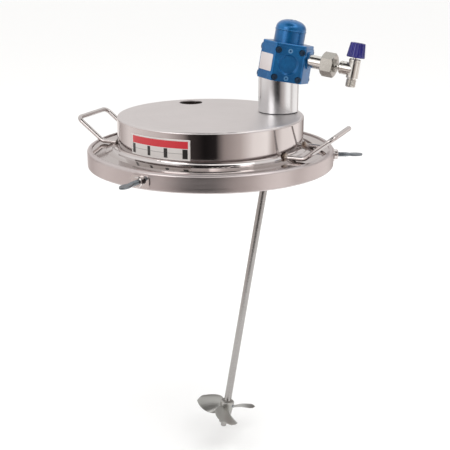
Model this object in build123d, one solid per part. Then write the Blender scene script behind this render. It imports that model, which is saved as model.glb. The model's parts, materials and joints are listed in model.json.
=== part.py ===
from build123d import *
import os
from math import atan, cos, degrees, pi, radians, sin, tan

# Air-driven agitator on a stainless pail lid. Units are millimetres, +Z is up.
# The origin is the centre of the pail's mouth, on the face where the gasket seals.
# The drive leans in the XZ plane, and its top leans towards +X.

# --- Driving dimensions ------------------------------------------------------

# Lid, rim and gasket
SHEET = 1.5
RIM_OUTER_R = 160.0
RIM_DEPTH = 22.0
RIM_LIP = 6.0
RIM_SHOULDER = 3.5
RIM_HEM = 0.6
FLANGE_GAP = 0.2
GASKET_THICK = 4.0
GASKET_WIDTH = 15.0
DOME_INSET = 39.5
DOME_HEIGHT = 43.0
DOME_CREST = 3.0
DOME_COVE = 5.0
FLANGE_RISE = 2.0
RISE_START = 7.5
RISE_WIDTH = 8.0

# Suction port in the dome's top
PORT_R = 16.0
PORT_INSET = 28.5
PORT_AZIMUTH = 96.0

# Lifting handles
HANDLE_AZIMUTHS = (-34.5, 145.5)
HANDLE_ROD_R = 3.0
HANDLE_WIDTH = 74.0
HANDLE_BEND_INSET = 20.0
HANDLE_OVERHANG = 16.0
HANDLE_RISE = 28.0
HANDLE_CLEARANCE = 0.8
HANDLE_CORNER = 8.0
WELD_SIZE = 3.0

# Rating plate
PLATE_AZIMUTH = -133.0
PLATE_ARC = 41.0
PLATE_HEIGHT = 25.0
PLATE_THICK = 0.8
PLATE_BASE = 14.0

# Clamp screws round the rim
CLAMP_COUNT = 3
CLAMP_AZIMUTH = -12.0
CLAMP_DROP = 5.0
SADDLE_WIDTH = 26.0
SADDLE_HEIGHT = 15.0
SADDLE_THICK = 1.6
SADDLE_BOSS_R = 6.5
SADDLE_BOSS_LENGTH = 5.0
SADDLE_BOSS_CHAMFER = 1.0
SCREW_R = 3.0
SCREW_TIP_R = 2.0
SCREW_TIP_LENGTH = 2.4
SCREW_ROD_LENGTH = 21.0
SPADE_LENGTH = 20.0
SPADE_WIDTH = 11.5
SPADE_THICK = 2.6
SPADE_NECK_SHARE = 0.8
PAD_R = 4.5
PAD_THICK = 3.4
PAD_FLOOR = 1.0
PAD_CLEARANCE = 0.5
RUNNING_CLEARANCE = 0.05
EDGE_CHAMFER = 0.8

# Drive axis
DRIVE_INSET = 31.5
DRIVE_TILT = 9.0

# Adapter between the dome and the motor
ADAPTER_R = 26.0
ADAPTER_WALL = 3.0
ADAPTER_SHIFT = 1.5
ADAPTER_FLOOR = 8.0
ADAPTER_HEAD = 5.0
ADAPTER_GASKET = 1.0
ADAPTER_PILOT_GAP = 1.5
ADAPTER_SCREW_CIRCLE = 18.5
ADAPTER_SCREW_COUNT = 4
ADAPTER_SCREW_R = 2.0
ADAPTER_SCREW_DEPTH = 6.0
SCREW_HEAD_RATIO = 1.75
DOME_DRIVE_HOLE_R = 14.0
BUSH_BOSS_R = 12.5
BUSH_OUTER_R = 8.0
BUSH_BOTTOM = 8.4
BUSH_LENGTH = 11.6
SEAL_OUTER_R = 11.0
SEAL_THICK = 5.0

# Air motor, with heights measured along the drive axis from the dome's top
MOTOR_BASE = 42.0
MOTOR_HEIGHT = 48.0
MOTOR_FACE = 28.5
MOTOR_FACE_HALF = 19.5
MOTOR_CORNER_FILLET = 4.0
MOTOR_AZIMUTH = -98.0
CYLINDER_COUNT = 3
CAP_THICK = 7.0
CAP_SCREW_DEPTH = 7.0
CAP_SCREW_R = 2.0
CAP_SCREW_SPREAD = 15.2
CAP_SCREW_INSET = 4.8
CAP_NOTCH_R = 4.2
CAP_NOTCH_DEPTH = 3.0
CAP_DISH_R = 13.0
CAP_DISH_DEPTH = 2.2
CAP_PLUG_R = 3.0
CAP_PLUG_INSET = 4.6
CAP_PLUG_DEPTH = 2.5
CAP_PLUG_SINK = 0.4
TOP_COVER_THICK = 4.0
TOP_COVER_STEP = 0.8
TOP_SCREW_R = 2.0
TOP_SCREW_DEPTH = 6.0
BEARING_OUTER_R = 11.0
BEARING_INNER_R = 4.0
BEARING_WIDTH = 7.0
BEARING_RING = 2.0
BEARING_SHIELD_DEPTH = 0.5
BEARING_SINK = 1.0
SHAFT_WAY_R = 6.0
HOUSING_FLOOR = 9.0
CHAMBER_R = 14.0
CYLINDER_R = 12.0
PISTON_CLEARANCE = 0.1
PISTON_SKIRT = 1.6
PISTON_LENGTH = 8.0
PISTON_CROWN = 3.0
CRANK_THROW = 2.0
CRANK_PIN_R = 9.0
CRANK_PIN_LENGTH = 12.0
PISTON_GAP = 0.6
MOTOR_SCREW_R = 2.0
MOTOR_SCREW_CIRCLE = 15.6
MOTOR_SCREW_DEPTH = 6.0

# Exhaust muffler on the motor
MUFFLER_R = 19.5
MUFFLER_BODY_HEIGHT = 14.5
MUFFLER_WALL = 2.5
MUFFLER_CAP_HEIGHT = 14.5
MUFFLER_CAP_LIP = 0.6
MUFFLER_LIP_HEIGHT = 1.8
MUFFLER_CROWN = 8.5
MUFFLER_VENT_CIRCLE = 6.0
FELT_CLEARANCE = 0.4
EXHAUST_HOLE_R = 2.0
EXHAUST_HOLE_CIRCLE = 11.5
FELT_BORE_R = 7.25
EXHAUST_HOLE_COUNT = 6

# Coupling, shaft and propeller
COUPLING_R = 10.0
COUPLING_BOTTOM = 22.0
COUPLING_LENGTH = 18.0
SET_SCREW_R = 2.0
SET_SCREW_SINK = 0.6
SET_SCREW_SOCKET = 1.8
SHAFT_R = 5.0
SHAFT_LENGTH = 493.0
SHAFT_END_R = 4.0
SHAFT_END_LENGTH = 16.0
HUB_R = 10.0
HUB_LENGTH = 26.0
HUB_TAPER = 2.0
HUB_ROUNDING = 2.0
PROPELLER_R = 45.0
PROPELLER_PITCH = 62.0
BLADE_COUNT = 3
BLADE_AZIMUTH = 18.0
BLADE_CHORD = 37.0
BLADE_ROOT_CHORD = 0.5
BLADE_CHORD_GROWTH = 2.0
BLADE_CHORD_TAPER = 2.1
BLADE_STATIONS = (0.0, 0.25, 0.5, 0.75, 0.92, 1.0)
BLADE_ROOT_SINK = 3.0
BLADE_ROOT_THICK = 3.2
BLADE_TIP_THICK = 1.2
NUT_FLATS = 13.0
NUT_THICK = 6.5
HUB_SEAT = 2.0
HUB_SCREW_INSET = 5.0
HUB_SCREW_AZIMUTH = -42.0
WASHER_R = 8.0
WASHER_THICK = 1.6

# Air inlet: nipple, union and angle needle valve, measured out from the drive axis
INLET_AZIMUTH = -38.0
INLET_STATION = 72.0
INLET_BOSS_R = 11.0
INLET_BOSS_LENGTH = 2.0
NIPPLE_R = 8.3
NIPPLE_LENGTH = 18.0
UNION_FLATS = 27.0
UNION_LENGTH = 16.0
UNION_SHOULDER_R = 8.0
UNION_SHOULDER_LENGTH = 2.5
TAIL_R = 3.6
TAIL_LENGTH = 4.5
AIR_BORE_R = 2.5
VALVE_BOSS_R = 8.2
VALVE_REACH = 17.5
VALVE_BODY_R = 7.4
VALVE_TOP = 13.0
VALVE_SKIRT = 11.0
THREAD_R = 6.58
THREAD_LENGTH = 11.0
THREAD_BORE_R = 4.4
NEEDLE_R = 2.5
NEEDLE_TIP = 4.0
NEEDLE_POINT = 3.0
NEEDLE_POINT_R = 0.6
NEEDLE_TRAVEL = 3.0
GLAND_R = 5.6
GLAND_HEIGHT = 2.0
KNOB_BASE_R = 11.5
KNOB_TOP_R = 9.6
KNOB_HEIGHT = 18.0
KNOB_FLUTES = 12
KNOB_FLUTE_R = 1.6
KNOB_WALL = 2.4
KNOB_SEAT = 2.0
KNOB_ROUNDING = 1.2
KNOB_FLUTE_START = 2.0

# --- Derived frames ----------------------------------------------------------

FLANGE_TOP = GASKET_THICK + SHEET
RIM_TOP = FLANGE_TOP + SHEET
RIM_BOTTOM = RIM_TOP - RIM_DEPTH
DOME_TOP = FLANGE_TOP + DOME_HEIGHT
RIM_LIP_R = RIM_OUTER_R - RIM_LIP
GASKET_INNER_R = RIM_LIP_R - GASKET_WIDTH
DOME_R = RIM_OUTER_R - DOME_INSET
RISE_INNER_R = DOME_R + RISE_START
RISE_OUTER_R = RISE_INNER_R + RISE_WIDTH
PORT_CIRCLE = DOME_R - PORT_INSET
HANDLE_BEND_R = RIM_OUTER_R - HANDLE_BEND_INSET
HANDLE_REACH = RIM_OUTER_R + HANDLE_OVERHANG
DRIVE_CIRCLE = DOME_R - DRIVE_INSET
FLANGE_R = RIM_OUTER_R - RIM_SHOULDER - FLANGE_GAP
MOTOR_TOP = MOTOR_BASE + MOTOR_HEIGHT
MOTOR_FLAT = MOTOR_FACE_HALF * sin(radians(60)) + MOTOR_FACE / 2
CAP_HEIGHT = MOTOR_HEIGHT - TOP_COVER_THICK
CYLINDER_STATION = MOTOR_BASE + CAP_HEIGHT / 2
TOP_SCREW_CIRCLE = MOTOR_FLAT - 3 * TOP_SCREW_R
CLAMP_HEIGHT = -CLAMP_DROP
SCREW_START = RIM_OUTER_R - SHEET - PAD_CLEARANCE
NIPPLE_START = MOTOR_FLAT + INLET_BOSS_LENGTH
UNION_START = NIPPLE_START + NIPPLE_LENGTH
TAIL_START = UNION_START + UNION_LENGTH + UNION_SHOULDER_LENGTH
VALVE_AXIS = TAIL_START + TAIL_LENGTH + VALVE_REACH
SHAFT_SHOULDER = COUPLING_BOTTOM + COUPLING_LENGTH / 2 - SHAFT_LENGTH + SHAFT_END_LENGTH
HUB_BOTTOM = SHAFT_SHOULDER - HUB_SEAT
HUB_SCREW_STATION = HUB_BOTTOM + HUB_LENGTH - HUB_SCREW_INSET
BLADE_INNER_R = HUB_R - BLADE_ROOT_SINK
DRIVE_DIRECTION = (sin(radians(DRIVE_TILT)), 0, cos(radians(DRIVE_TILT)))
DRIVE_SIDE = (cos(radians(DRIVE_TILT)), 0, -sin(radians(DRIVE_TILT)))
DRIVE = Plane(origin=(DRIVE_CIRCLE, 0, DOME_TOP), x_dir=DRIVE_SIDE, z_dir=DRIVE_DIRECTION)
ADAPTER_X = DRIVE_CIRCLE + ADAPTER_SHIFT
BIG = 400.0

parts = {}


def on_drive(shape, station=0.0):
    """Place a shape, made about the Z axis, on the drive axis at a station."""
    return DRIVE.location * Pos(0, 0, station) * shape


def rod(radius, length, bottom=0.0):
    """A cylinder about Z that starts at a height."""
    return Pos(0, 0, bottom) * Cylinder(radius, length, align=(Align.CENTER, Align.CENTER, Align.MIN))


def cone(lower, upper, length, bottom=0.0):
    """A cone about Z that starts at a height."""
    return Pos(0, 0, bottom) * Cone(lower, upper, length, align=(Align.CENTER, Align.CENTER, Align.MIN))


def tube(outer, inner, length, bottom=0.0):
    """A ring about Z that starts at a height."""
    return rod(outer, length, bottom) - rod(inner, length, bottom)


def hexagon(flats, length, bottom=0.0):
    """A hexagonal bar about Z, across its flats, with its corners chamfered at both ends."""
    bar = extrude(RegularPolygon(flats / 2, 6, major_radius=False), length)
    corner_r = flats / 2 / cos(radians(30))
    depth = (corner_r - flats / 2) * tan(radians(30))
    ends = rod(corner_r, length - 2 * depth, depth)
    ends += cone(flats / 2, corner_r, depth)
    ends += cone(corner_r, flats / 2, depth, length - depth)
    return Pos(0, 0, bottom) * (bar & ends)


def cap_screw(radius, length):
    """A socket head screw about Z: head seated at z = 0, shank downwards."""
    head_r = radius * SCREW_HEAD_RATIO
    head = rod(head_r, 2 * radius)
    head -= Pos(0, 0, radius) * extrude(RegularPolygon(radius, 6), radius)
    return head + rod(radius, length, -length)


def turned(*points):
    """Revolve a closed outline of (radius, height) points about Z."""
    outline = Polyline(*[(r, 0, z) for r, z in points], close=True)
    return revolve(make_face(outline), Axis.Z)


def rings(shape, radius, height):
    """Circular edges of a turned shape at one radius and height."""
    found = shape.edges().filter_by(GeomType.CIRCLE)
    return found.filter_by(lambda e: abs(e.radius - radius) < 0.01 and abs(e.center().Z - height) < 0.01)


def radial(azimuth, height):
    """A frame on the lid's axis whose Z points outwards at an azimuth and whose X points down."""
    return Rot(0, 0, azimuth) * Pos(0, 0, height) * Rot(0, 90, 0)


# --- Lid ---------------------------------------------------------------------


def make_lid():
    """Pressed pan: raised dome, coved foot, a low step and the flat clamping flange."""
    foot = FLANGE_TOP + FLANGE_RISE
    lid = turned(
        (0, DOME_TOP),
        (DOME_R, DOME_TOP),
        (DOME_R, foot),
        (RISE_INNER_R, foot),
        (RISE_OUTER_R, FLANGE_TOP),
        (FLANGE_R, FLANGE_TOP),
        (FLANGE_R, FLANGE_TOP - SHEET),
        (RISE_OUTER_R - SHEET, FLANGE_TOP - SHEET),
        (RISE_INNER_R - SHEET, foot - SHEET),
        (DOME_R - SHEET, foot - SHEET),
        (DOME_R - SHEET, DOME_TOP - SHEET),
        (0, DOME_TOP - SHEET),
    )
    lid = fillet(rings(lid, DOME_R, DOME_TOP), DOME_CREST)
    lid = fillet(rings(lid, DOME_R - SHEET, DOME_TOP - SHEET), DOME_CREST - SHEET)
    lid = fillet(rings(lid, DOME_R, foot), DOME_COVE)
    lid = fillet(rings(lid, DOME_R - SHEET, foot - SHEET), DOME_COVE + SHEET)
    lid -= Pos(DRIVE_CIRCLE, 0, DOME_TOP) * Cylinder(DOME_DRIVE_HOLE_R, 4 * SHEET)
    lid -= Rot(0, 0, PORT_AZIMUTH) * Pos(PORT_CIRCLE, 0, DOME_TOP) * Cylinder(PORT_R, 4 * SHEET)
    for place in adapter_screw_places():
        lid -= place * rod(ADAPTER_SCREW_R, 4 * SHEET, -2 * SHEET)
    return lid


def make_rim():
    """Rim ring: lip over the flange, round shoulder, vertical skirt and a hemmed foot."""
    hem_r = RIM_OUTER_R - SHEET - RIM_HEM
    inner_r = RIM_OUTER_R - SHEET
    rim = turned(
        (RIM_LIP_R, RIM_TOP),
        (RIM_OUTER_R, RIM_TOP),
        (RIM_OUTER_R, RIM_BOTTOM),
        (hem_r, RIM_BOTTOM),
        (hem_r, RIM_BOTTOM + 2 * SHEET),
        (inner_r, RIM_BOTTOM + 2 * SHEET),
        (inner_r, FLANGE_TOP),
        (RIM_LIP_R, FLANGE_TOP),
    )
    rim = fillet(rings(rim, RIM_OUTER_R, RIM_TOP), RIM_SHOULDER)
    rim = fillet(rings(rim, inner_r, FLANGE_TOP), RIM_SHOULDER - SHEET)
    rim = fillet(rings(rim, RIM_OUTER_R, RIM_BOTTOM), SHEET)
    for azimuth in clamp_azimuths():
        rim -= radial(azimuth, CLAMP_HEIGHT) * rod(SCREW_R + RUNNING_CLEARANCE, BIG)
    return rim


def make_gasket():
    """Flat rubber ring under the flange."""
    return tube(RIM_LIP_R, GASKET_INNER_R, GASKET_THICK)


def make_handle(azimuth):
    """Bent rod handle: two feet on the dome's foot, slanting legs and a straight grip."""
    half = HANDLE_WIDTH / 2
    foot_z = FLANGE_TOP + HANDLE_ROD_R + HANDLE_CLEARANCE
    grip_z = foot_z + HANDLE_RISE
    root_r = (DOME_R**2 - half**2) ** 0.5
    route = FilletPolyline(
        (root_r, -half, foot_z),
        (HANDLE_BEND_R, -half, foot_z),
        (HANDLE_REACH, -half, grip_z),
        (HANDLE_REACH, half, grip_z),
        (HANDLE_BEND_R, half, foot_z),
        (root_r, half, foot_z),
        radius=HANDLE_CORNER,
    )
    start = Plane(origin=route @ 0, z_dir=route % 0)
    bar = sweep(start * Circle(HANDLE_ROD_R), path=route)
    for side in (-half, half):
        weld = Pos(root_r + WELD_SIZE, side, foot_z) * Rot(0, -90, 0)
        bar += weld * Cone(HANDLE_ROD_R, HANDLE_ROD_R + WELD_SIZE, WELD_SIZE)
    bar = Rot(0, 0, azimuth) * bar
    return bar - turned_lid_envelope()


def turned_lid_envelope():
    """The space inside the dome's outer skin, which trims what is welded to it."""
    foot = FLANGE_TOP + FLANGE_RISE
    envelope = turned((0, DOME_TOP), (DOME_R, DOME_TOP), (DOME_R, foot), (RISE_INNER_R, foot),
                      (RISE_OUTER_R, FLANGE_TOP), (FLANGE_R, FLANGE_TOP), (FLANGE_R, 0), (0, 0))
    return fillet(rings(envelope, DOME_R, foot), DOME_COVE)


def make_rating_plate():
    """Thin plate that follows the dome's wall."""
    band = tube(DOME_R + PLATE_THICK, DOME_R, PLATE_HEIGHT, PLATE_BASE)
    reach = 2 * DOME_R
    half = radians(PLATE_ARC / 2)
    wedge = Polyline((0, 0), (reach, -reach * tan(half)), (reach, reach * tan(half)), close=True)
    sector = extrude(make_face(wedge), DOME_TOP)
    return Rot(0, 0, PLATE_AZIMUTH) * (band & sector)


# --- Clamp screws ------------------------------------------------------------


def clamp_azimuths():
    """Azimuths of the clamp screws, evenly spaced round the rim."""
    return [CLAMP_AZIMUTH + 360 / CLAMP_COUNT * i for i in range(CLAMP_COUNT)]


def make_saddle(azimuth):
    """Plate welded to the skirt, curved to it, with a threaded boss for the clamp screw."""
    bottom = CLAMP_HEIGHT - SADDLE_HEIGHT / 2
    band = tube(RIM_OUTER_R + SADDLE_THICK, RIM_OUTER_R, SADDLE_HEIGHT, bottom)
    window = Pos(RIM_OUTER_R, 0, CLAMP_HEIGHT) * Box(RIM_OUTER_R, SADDLE_WIDTH, SADDLE_HEIGHT)
    corners = window.edges().filter_by(Axis.X)
    plate = band & fillet(corners, SADDLE_HEIGHT / 3)
    frame = radial(0, CLAMP_HEIGHT)
    boss = rod(SADDLE_BOSS_R, SADDLE_THICK + SADDLE_BOSS_LENGTH, RIM_OUTER_R)
    boss = chamfer(boss.edges().sort_by(Axis.Z)[-1], SADDLE_BOSS_CHAMFER)
    saddle = plate + frame * boss - rod(RIM_OUTER_R, DOME_TOP, -DOME_TOP)
    saddle -= frame * rod(SCREW_R + RUNNING_CLEARANCE, BIG)
    return Rot(0, 0, azimuth) * saddle


def make_clamp_screw(azimuth):
    """Spade-headed screw: pivot tip, rod, swaged neck and a flat rounded spade."""
    screw = rod(SCREW_TIP_R, SCREW_TIP_LENGTH, SCREW_START - SCREW_TIP_LENGTH)
    screw += rod(SCREW_R, SCREW_ROD_LENGTH, SCREW_START)
    rod_end = SCREW_START + SCREW_ROD_LENGTH
    oval = Ellipse(SPADE_LENGTH / 2, SPADE_WIDTH / 2)
    flat = extrude(oval, SPADE_THICK / 2, both=True)
    flat = fillet(flat.edges(), SPADE_THICK / 4)
    neck_start = Pos(0, 0, rod_end - SCREW_R) * Circle(SCREW_R)
    neck_end = Rectangle(SPADE_THICK, SPADE_WIDTH * SPADE_NECK_SHARE)
    neck = loft([neck_start, Pos(0, 0, rod_end + SPADE_LENGTH / 4) * neck_end])
    turn = Pos(0, 0, rod_end + SPADE_LENGTH / 2) * Rot(0, 90, 0)
    screw += neck + turn * flat
    return radial(azimuth, CLAMP_HEIGHT) * screw


def make_pad(azimuth):
    """Swivel pad on the screw's tip, which bears on the pail's bead."""
    face = SCREW_START - SCREW_TIP_LENGTH - PAD_CLEARANCE - PAD_FLOOR
    pad = rod(PAD_R, PAD_THICK, face)
    pad = chamfer(pad.edges().sort_by(Axis.Z)[0], EDGE_CHAMFER)
    pad -= rod(SCREW_TIP_R + RUNNING_CLEARANCE, PAD_THICK, face + PAD_FLOOR)
    return radial(azimuth, CLAMP_HEIGHT) * pad


# --- Adapter -----------------------------------------------------------------


def adapter_screw_places():
    """Frames on the dome's top for the screws that hold the adapter."""
    step = 360 / ADAPTER_SCREW_COUNT
    centre = Pos(ADAPTER_X, 0, DOME_TOP)
    turns = [Rot(0, 0, (i + 0.5) * step) for i in range(ADAPTER_SCREW_COUNT)]
    return [centre * turn * Pos(ADAPTER_SCREW_CIRCLE, 0, 0) for turn in turns]


def make_adapter():
    """Upright turned tube with a floor, an inclined bush boss and a slanted head."""
    floor = DOME_TOP + ADAPTER_GASKET
    centre = Pos(ADAPTER_X, 0, 0)
    below_base = on_drive(rod(BIG, BIG, -BIG), MOTOR_BASE)
    below_head = on_drive(rod(BIG, BIG, -BIG), MOTOR_BASE - ADAPTER_HEAD)
    outer = centre * rod(ADAPTER_R, BIG, floor) & below_base
    cavity = centre * rod(ADAPTER_R - ADAPTER_WALL, BIG, floor + ADAPTER_FLOOR) & below_head
    boss = on_drive(rod(BUSH_BOSS_R, BUSH_BOTTOM + BUSH_LENGTH)) & outer
    adapter = outer - cavity + boss
    adapter -= on_drive(rod(BUSH_OUTER_R, BIG, BUSH_BOTTOM))
    adapter -= on_drive(rod(SEAL_OUTER_R, BIG, BUSH_BOTTOM - BIG))
    adapter -= on_drive(rod(COUPLING_R + ADAPTER_PILOT_GAP, BIG, MOTOR_BASE - 2 * ADAPTER_HEAD))
    for place in adapter_screw_places():
        adapter -= place * rod(ADAPTER_SCREW_R, ADAPTER_SCREW_DEPTH + ADAPTER_GASKET)
    for place in motor_screw_places():
        adapter -= on_drive(place * rod(MOTOR_SCREW_R, 2 * ADAPTER_HEAD), MOTOR_BASE - 1.5 * ADAPTER_HEAD)
    return adapter


def make_adapter_gasket():
    """Thin ring between the dome and the adapter."""
    ring = Pos(ADAPTER_X, 0, 0) * rod(ADAPTER_R - ADAPTER_GASKET, ADAPTER_GASKET, DOME_TOP)
    ring -= Pos(DRIVE_CIRCLE, 0, 0) * rod(DOME_DRIVE_HOLE_R, BIG)
    for place in adapter_screw_places():
        ring -= place * rod(ADAPTER_SCREW_R, ADAPTER_GASKET)
    return ring


def make_adapter_screws():
    """Screws up through the dome's top into the adapter's floor."""
    length = ADAPTER_SCREW_DEPTH + ADAPTER_GASKET + SHEET
    screw = Rot(180, 0, 0) * cap_screw(ADAPTER_SCREW_R, length)
    return Compound(children=[place * Pos(0, 0, -SHEET) * screw for place in adapter_screw_places()])


def make_bush():
    """Plain bronze bush that guides the shaft in the adapter's floor."""
    return on_drive(tube(BUSH_OUTER_R, SHAFT_R + RUNNING_CLEARANCE, BUSH_LENGTH, BUSH_BOTTOM))


def make_shaft_seal():
    """Lip seal below the bush."""
    seal = tube(SEAL_OUTER_R, SHAFT_R + RUNNING_CLEARANCE, SEAL_THICK, BUSH_BOTTOM - SEAL_THICK)
    return on_drive(seal)


# --- Air motor ---------------------------------------------------------------


def corner_turns():
    """Turns about the drive axis that face the motor's corner flats."""
    step = 360 / CYLINDER_COUNT
    return [Rot(0, 0, MOTOR_AZIMUTH + step * (i + 0.5)) for i in range(CYLINDER_COUNT)]


def motor_screw_places():
    """Frames on the motor's base, between the cylinders, for its holding screws."""
    return [turn * Pos(MOTOR_SCREW_CIRCLE, 0, 0) for turn in corner_turns()]


def motor_prism(bottom, height, inset=0.0):
    """Six-sided body: three cylinder faces and three corner flats, with rounded edges."""
    prism = rod(2 * MOTOR_FACE, height, bottom)
    for i in range(CYLINDER_COUNT):
        for turn, distance in ((0, MOTOR_FACE), (60, MOTOR_FLAT)):
            side = Rot(0, 0, MOTOR_AZIMUTH + 360 / CYLINDER_COUNT * i + turn)
            cut = Box(BIG, BIG, BIG, align=(Align.MIN, Align.CENTER, Align.CENTER))
            prism -= side * Pos(distance - inset, 0, 0) * cut
    uprights = prism.edges().filter_by(Axis.Z)
    return fillet(uprights, MOTOR_CORNER_FILLET)


def cylinder_frame(index):
    """A frame on one cylinder's axis: Z outwards, X down the motor."""
    turn = MOTOR_AZIMUTH + 360 / CYLINDER_COUNT * index
    return Rot(0, 0, turn) * Pos(0, 0, CYLINDER_STATION) * Rot(0, 90, 0)


def face_slab(index, inner):
    """Everything beyond one cylinder's seating face."""
    block = Box(BIG, BIG, BIG, align=(Align.CENTER, Align.CENTER, Align.MIN))
    return cylinder_frame(index) * Pos(0, 0, inner) * block


def make_motor_housing():
    """Crankcase: bearing seat in the floor, crank chamber, radial cylinder bores and air port."""
    seat = MOTOR_FACE - CAP_THICK
    housing = motor_prism(MOTOR_BASE, CAP_HEIGHT)
    chamber_floor = MOTOR_BASE + HOUSING_FLOOR
    housing -= rod(CHAMBER_R, BIG, chamber_floor)
    housing -= rod(BEARING_OUTER_R, BIG, chamber_floor - BEARING_WIDTH)
    housing -= rod(SHAFT_WAY_R, BIG)
    inlet = Rot(0, 0, INLET_AZIMUTH) * Pos(0, 0, INLET_STATION) * Rot(0, 90, 0)
    housing += inlet * rod(INLET_BOSS_R, MOTOR_FLAT / 2 + INLET_BOSS_LENGTH, MOTOR_FLAT / 2)
    housing -= inlet * rod(AIR_BORE_R, MOTOR_FLAT + INLET_BOSS_LENGTH)
    for i in range(CYLINDER_COUNT):
        housing -= face_slab(i, seat)
        housing -= cylinder_frame(i) * rod(CYLINDER_R, seat)
        for place in cap_screw_places():
            housing -= cylinder_frame(i) * place * rod(CAP_SCREW_R, CAP_SCREW_DEPTH, seat - CAP_SCREW_DEPTH)
    for place in motor_screw_places():
        housing -= place * rod(MOTOR_SCREW_R, MOTOR_SCREW_DEPTH, MOTOR_BASE)
    for place in top_screw_places():
        housing -= place * rod(TOP_SCREW_R, TOP_SCREW_DEPTH, MOTOR_BASE + CAP_HEIGHT - TOP_SCREW_DEPTH)
    return on_drive(housing)


def cap_screw_places():
    """Frames on a cylinder cap for its four corner screws."""
    rise = CAP_HEIGHT / 2 - CAP_SCREW_INSET
    return [Pos(x, y, 0) for x in (-rise, rise) for y in (-CAP_SCREW_SPREAD, CAP_SCREW_SPREAD)]


def cap_plug_places():
    """Frames on a cylinder cap for its upper and lower port plugs."""
    rise = CAP_HEIGHT / 2 - CAP_PLUG_INSET
    return [Pos(x, 0, 0) for x in (-rise, rise)]


def make_cylinder_cap(index):
    """Cap over one cylinder: dished face, notched corners for its screws and two blank plugs."""
    seat = MOTOR_FACE - CAP_THICK
    frame = cylinder_frame(index)
    cap = motor_prism(MOTOR_BASE, CAP_HEIGHT) & face_slab(index, seat)
    dish = cone(CAP_DISH_R - CAP_DISH_DEPTH, CAP_DISH_R + CAP_DISH_DEPTH, 2 * CAP_DISH_DEPTH)
    cap -= frame * Pos(0, 0, MOTOR_FACE - CAP_DISH_DEPTH) * dish
    for place in cap_screw_places():
        shoulder = MOTOR_FACE - CAP_NOTCH_DEPTH
        cap -= frame * place * rod(CAP_NOTCH_R, BIG, shoulder)
        cap -= frame * place * rod(CAP_SCREW_R, CAP_THICK, seat)
    for place in cap_plug_places():
        cap -= frame * place * rod(CAP_PLUG_R, BIG, MOTOR_FACE - CAP_PLUG_DEPTH)
    return on_drive(cap)


def make_cap_screws():
    """The corner screws of all the cylinder caps, seated in their notches."""
    shoulder = MOTOR_FACE - CAP_NOTCH_DEPTH
    screw = cap_screw(CAP_SCREW_R, CAP_THICK - CAP_NOTCH_DEPTH + CAP_SCREW_DEPTH)
    screws = []
    for i in range(CYLINDER_COUNT):
        for place in cap_screw_places():
            screws.append(on_drive(cylinder_frame(i) * place * Pos(0, 0, shoulder) * screw))
    return Compound(children=screws)


def make_cap_plugs():
    """Screwed plugs in the caps' upper and lower ports, each with a hexagon socket."""
    plug = rod(CAP_PLUG_R, CAP_PLUG_DEPTH - CAP_PLUG_SINK)
    plug -= extrude(RegularPolygon(CAP_PLUG_R / 2, 6), CAP_PLUG_DEPTH)
    plug = Pos(0, 0, MOTOR_FACE - CAP_PLUG_DEPTH) * plug
    plugs = []
    for i in range(CYLINDER_COUNT):
        for place in cap_plug_places():
            plugs.append(on_drive(cylinder_frame(i) * place * plug))
    return Compound(children=plugs)


def make_motor_screws():
    """Screws through the adapter's head into the motor's base."""
    length = ADAPTER_HEAD + MOTOR_SCREW_DEPTH
    screw = Rot(180, 0, 0) * cap_screw(MOTOR_SCREW_R, length)
    seat = MOTOR_BASE - ADAPTER_HEAD
    return Compound(children=[on_drive(place * screw, seat) for place in motor_screw_places()])


def make_top_cover():
    """Cover with a bearing boss below, exhaust holes and countersunk screw holes."""
    bottom = MOTOR_TOP - TOP_COVER_THICK
    cover = motor_prism(bottom, TOP_COVER_THICK, TOP_COVER_STEP)
    edge = cover.edges().group_by(Axis.Z)[-1]
    cover = chamfer(edge, TOP_COVER_STEP)
    seat_depth = BEARING_WIDTH - BEARING_SINK
    cover += rod(CHAMBER_R - RUNNING_CLEARANCE, seat_depth, bottom - seat_depth)
    cover -= rod(BEARING_OUTER_R, BEARING_WIDTH, bottom - seat_depth)
    step = 360 / EXHAUST_HOLE_COUNT
    for i in range(EXHAUST_HOLE_COUNT):
        hole = rod(EXHAUST_HOLE_R, BIG, bottom - BEARING_WIDTH)
        cover -= Rot(0, 0, MOTOR_AZIMUTH + step * (i + 0.5)) * Pos(EXHAUST_HOLE_CIRCLE, 0, 0) * hole
    for place in top_screw_places():
        cover -= place * rod(TOP_SCREW_R, BIG, 0)
        cover -= place * cone(TOP_SCREW_R, 3 * TOP_SCREW_R, 2 * TOP_SCREW_R, MOTOR_TOP - TOP_SCREW_R)
    return on_drive(cover)


def top_screw_places():
    """Frames for the top cover's screws, outside the muffler and over the corner flats."""
    return [turn * Pos(TOP_SCREW_CIRCLE, 0, 0) for turn in corner_turns()]


def make_top_screws():
    """Countersunk screws of the top cover."""
    head = cone(TOP_SCREW_R, 2 * TOP_SCREW_R, TOP_SCREW_R, -TOP_SCREW_R)
    length = TOP_COVER_THICK + TOP_SCREW_DEPTH
    screw = rod(TOP_SCREW_R, length, -length) + head
    screw -= Pos(0, 0, -TOP_SCREW_R / 2) * extrude(RegularPolygon(TOP_SCREW_R / 2, 6), TOP_SCREW_R)
    return Compound(children=[on_drive(place * screw, MOTOR_TOP) for place in top_screw_places()])


def make_bearing(bottom):
    """Ball bearing of the crankshaft, as one ring with its shield grooves."""
    ring = tube(BEARING_OUTER_R, BEARING_INNER_R, BEARING_WIDTH, bottom)
    groove = tube(BEARING_OUTER_R - BEARING_RING, BEARING_INNER_R + BEARING_RING, BEARING_SHIELD_DEPTH)
    ring -= Pos(0, 0, bottom) * groove
    ring -= Pos(0, 0, bottom + BEARING_WIDTH - BEARING_SHIELD_DEPTH) * groove
    return on_drive(ring)


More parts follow.
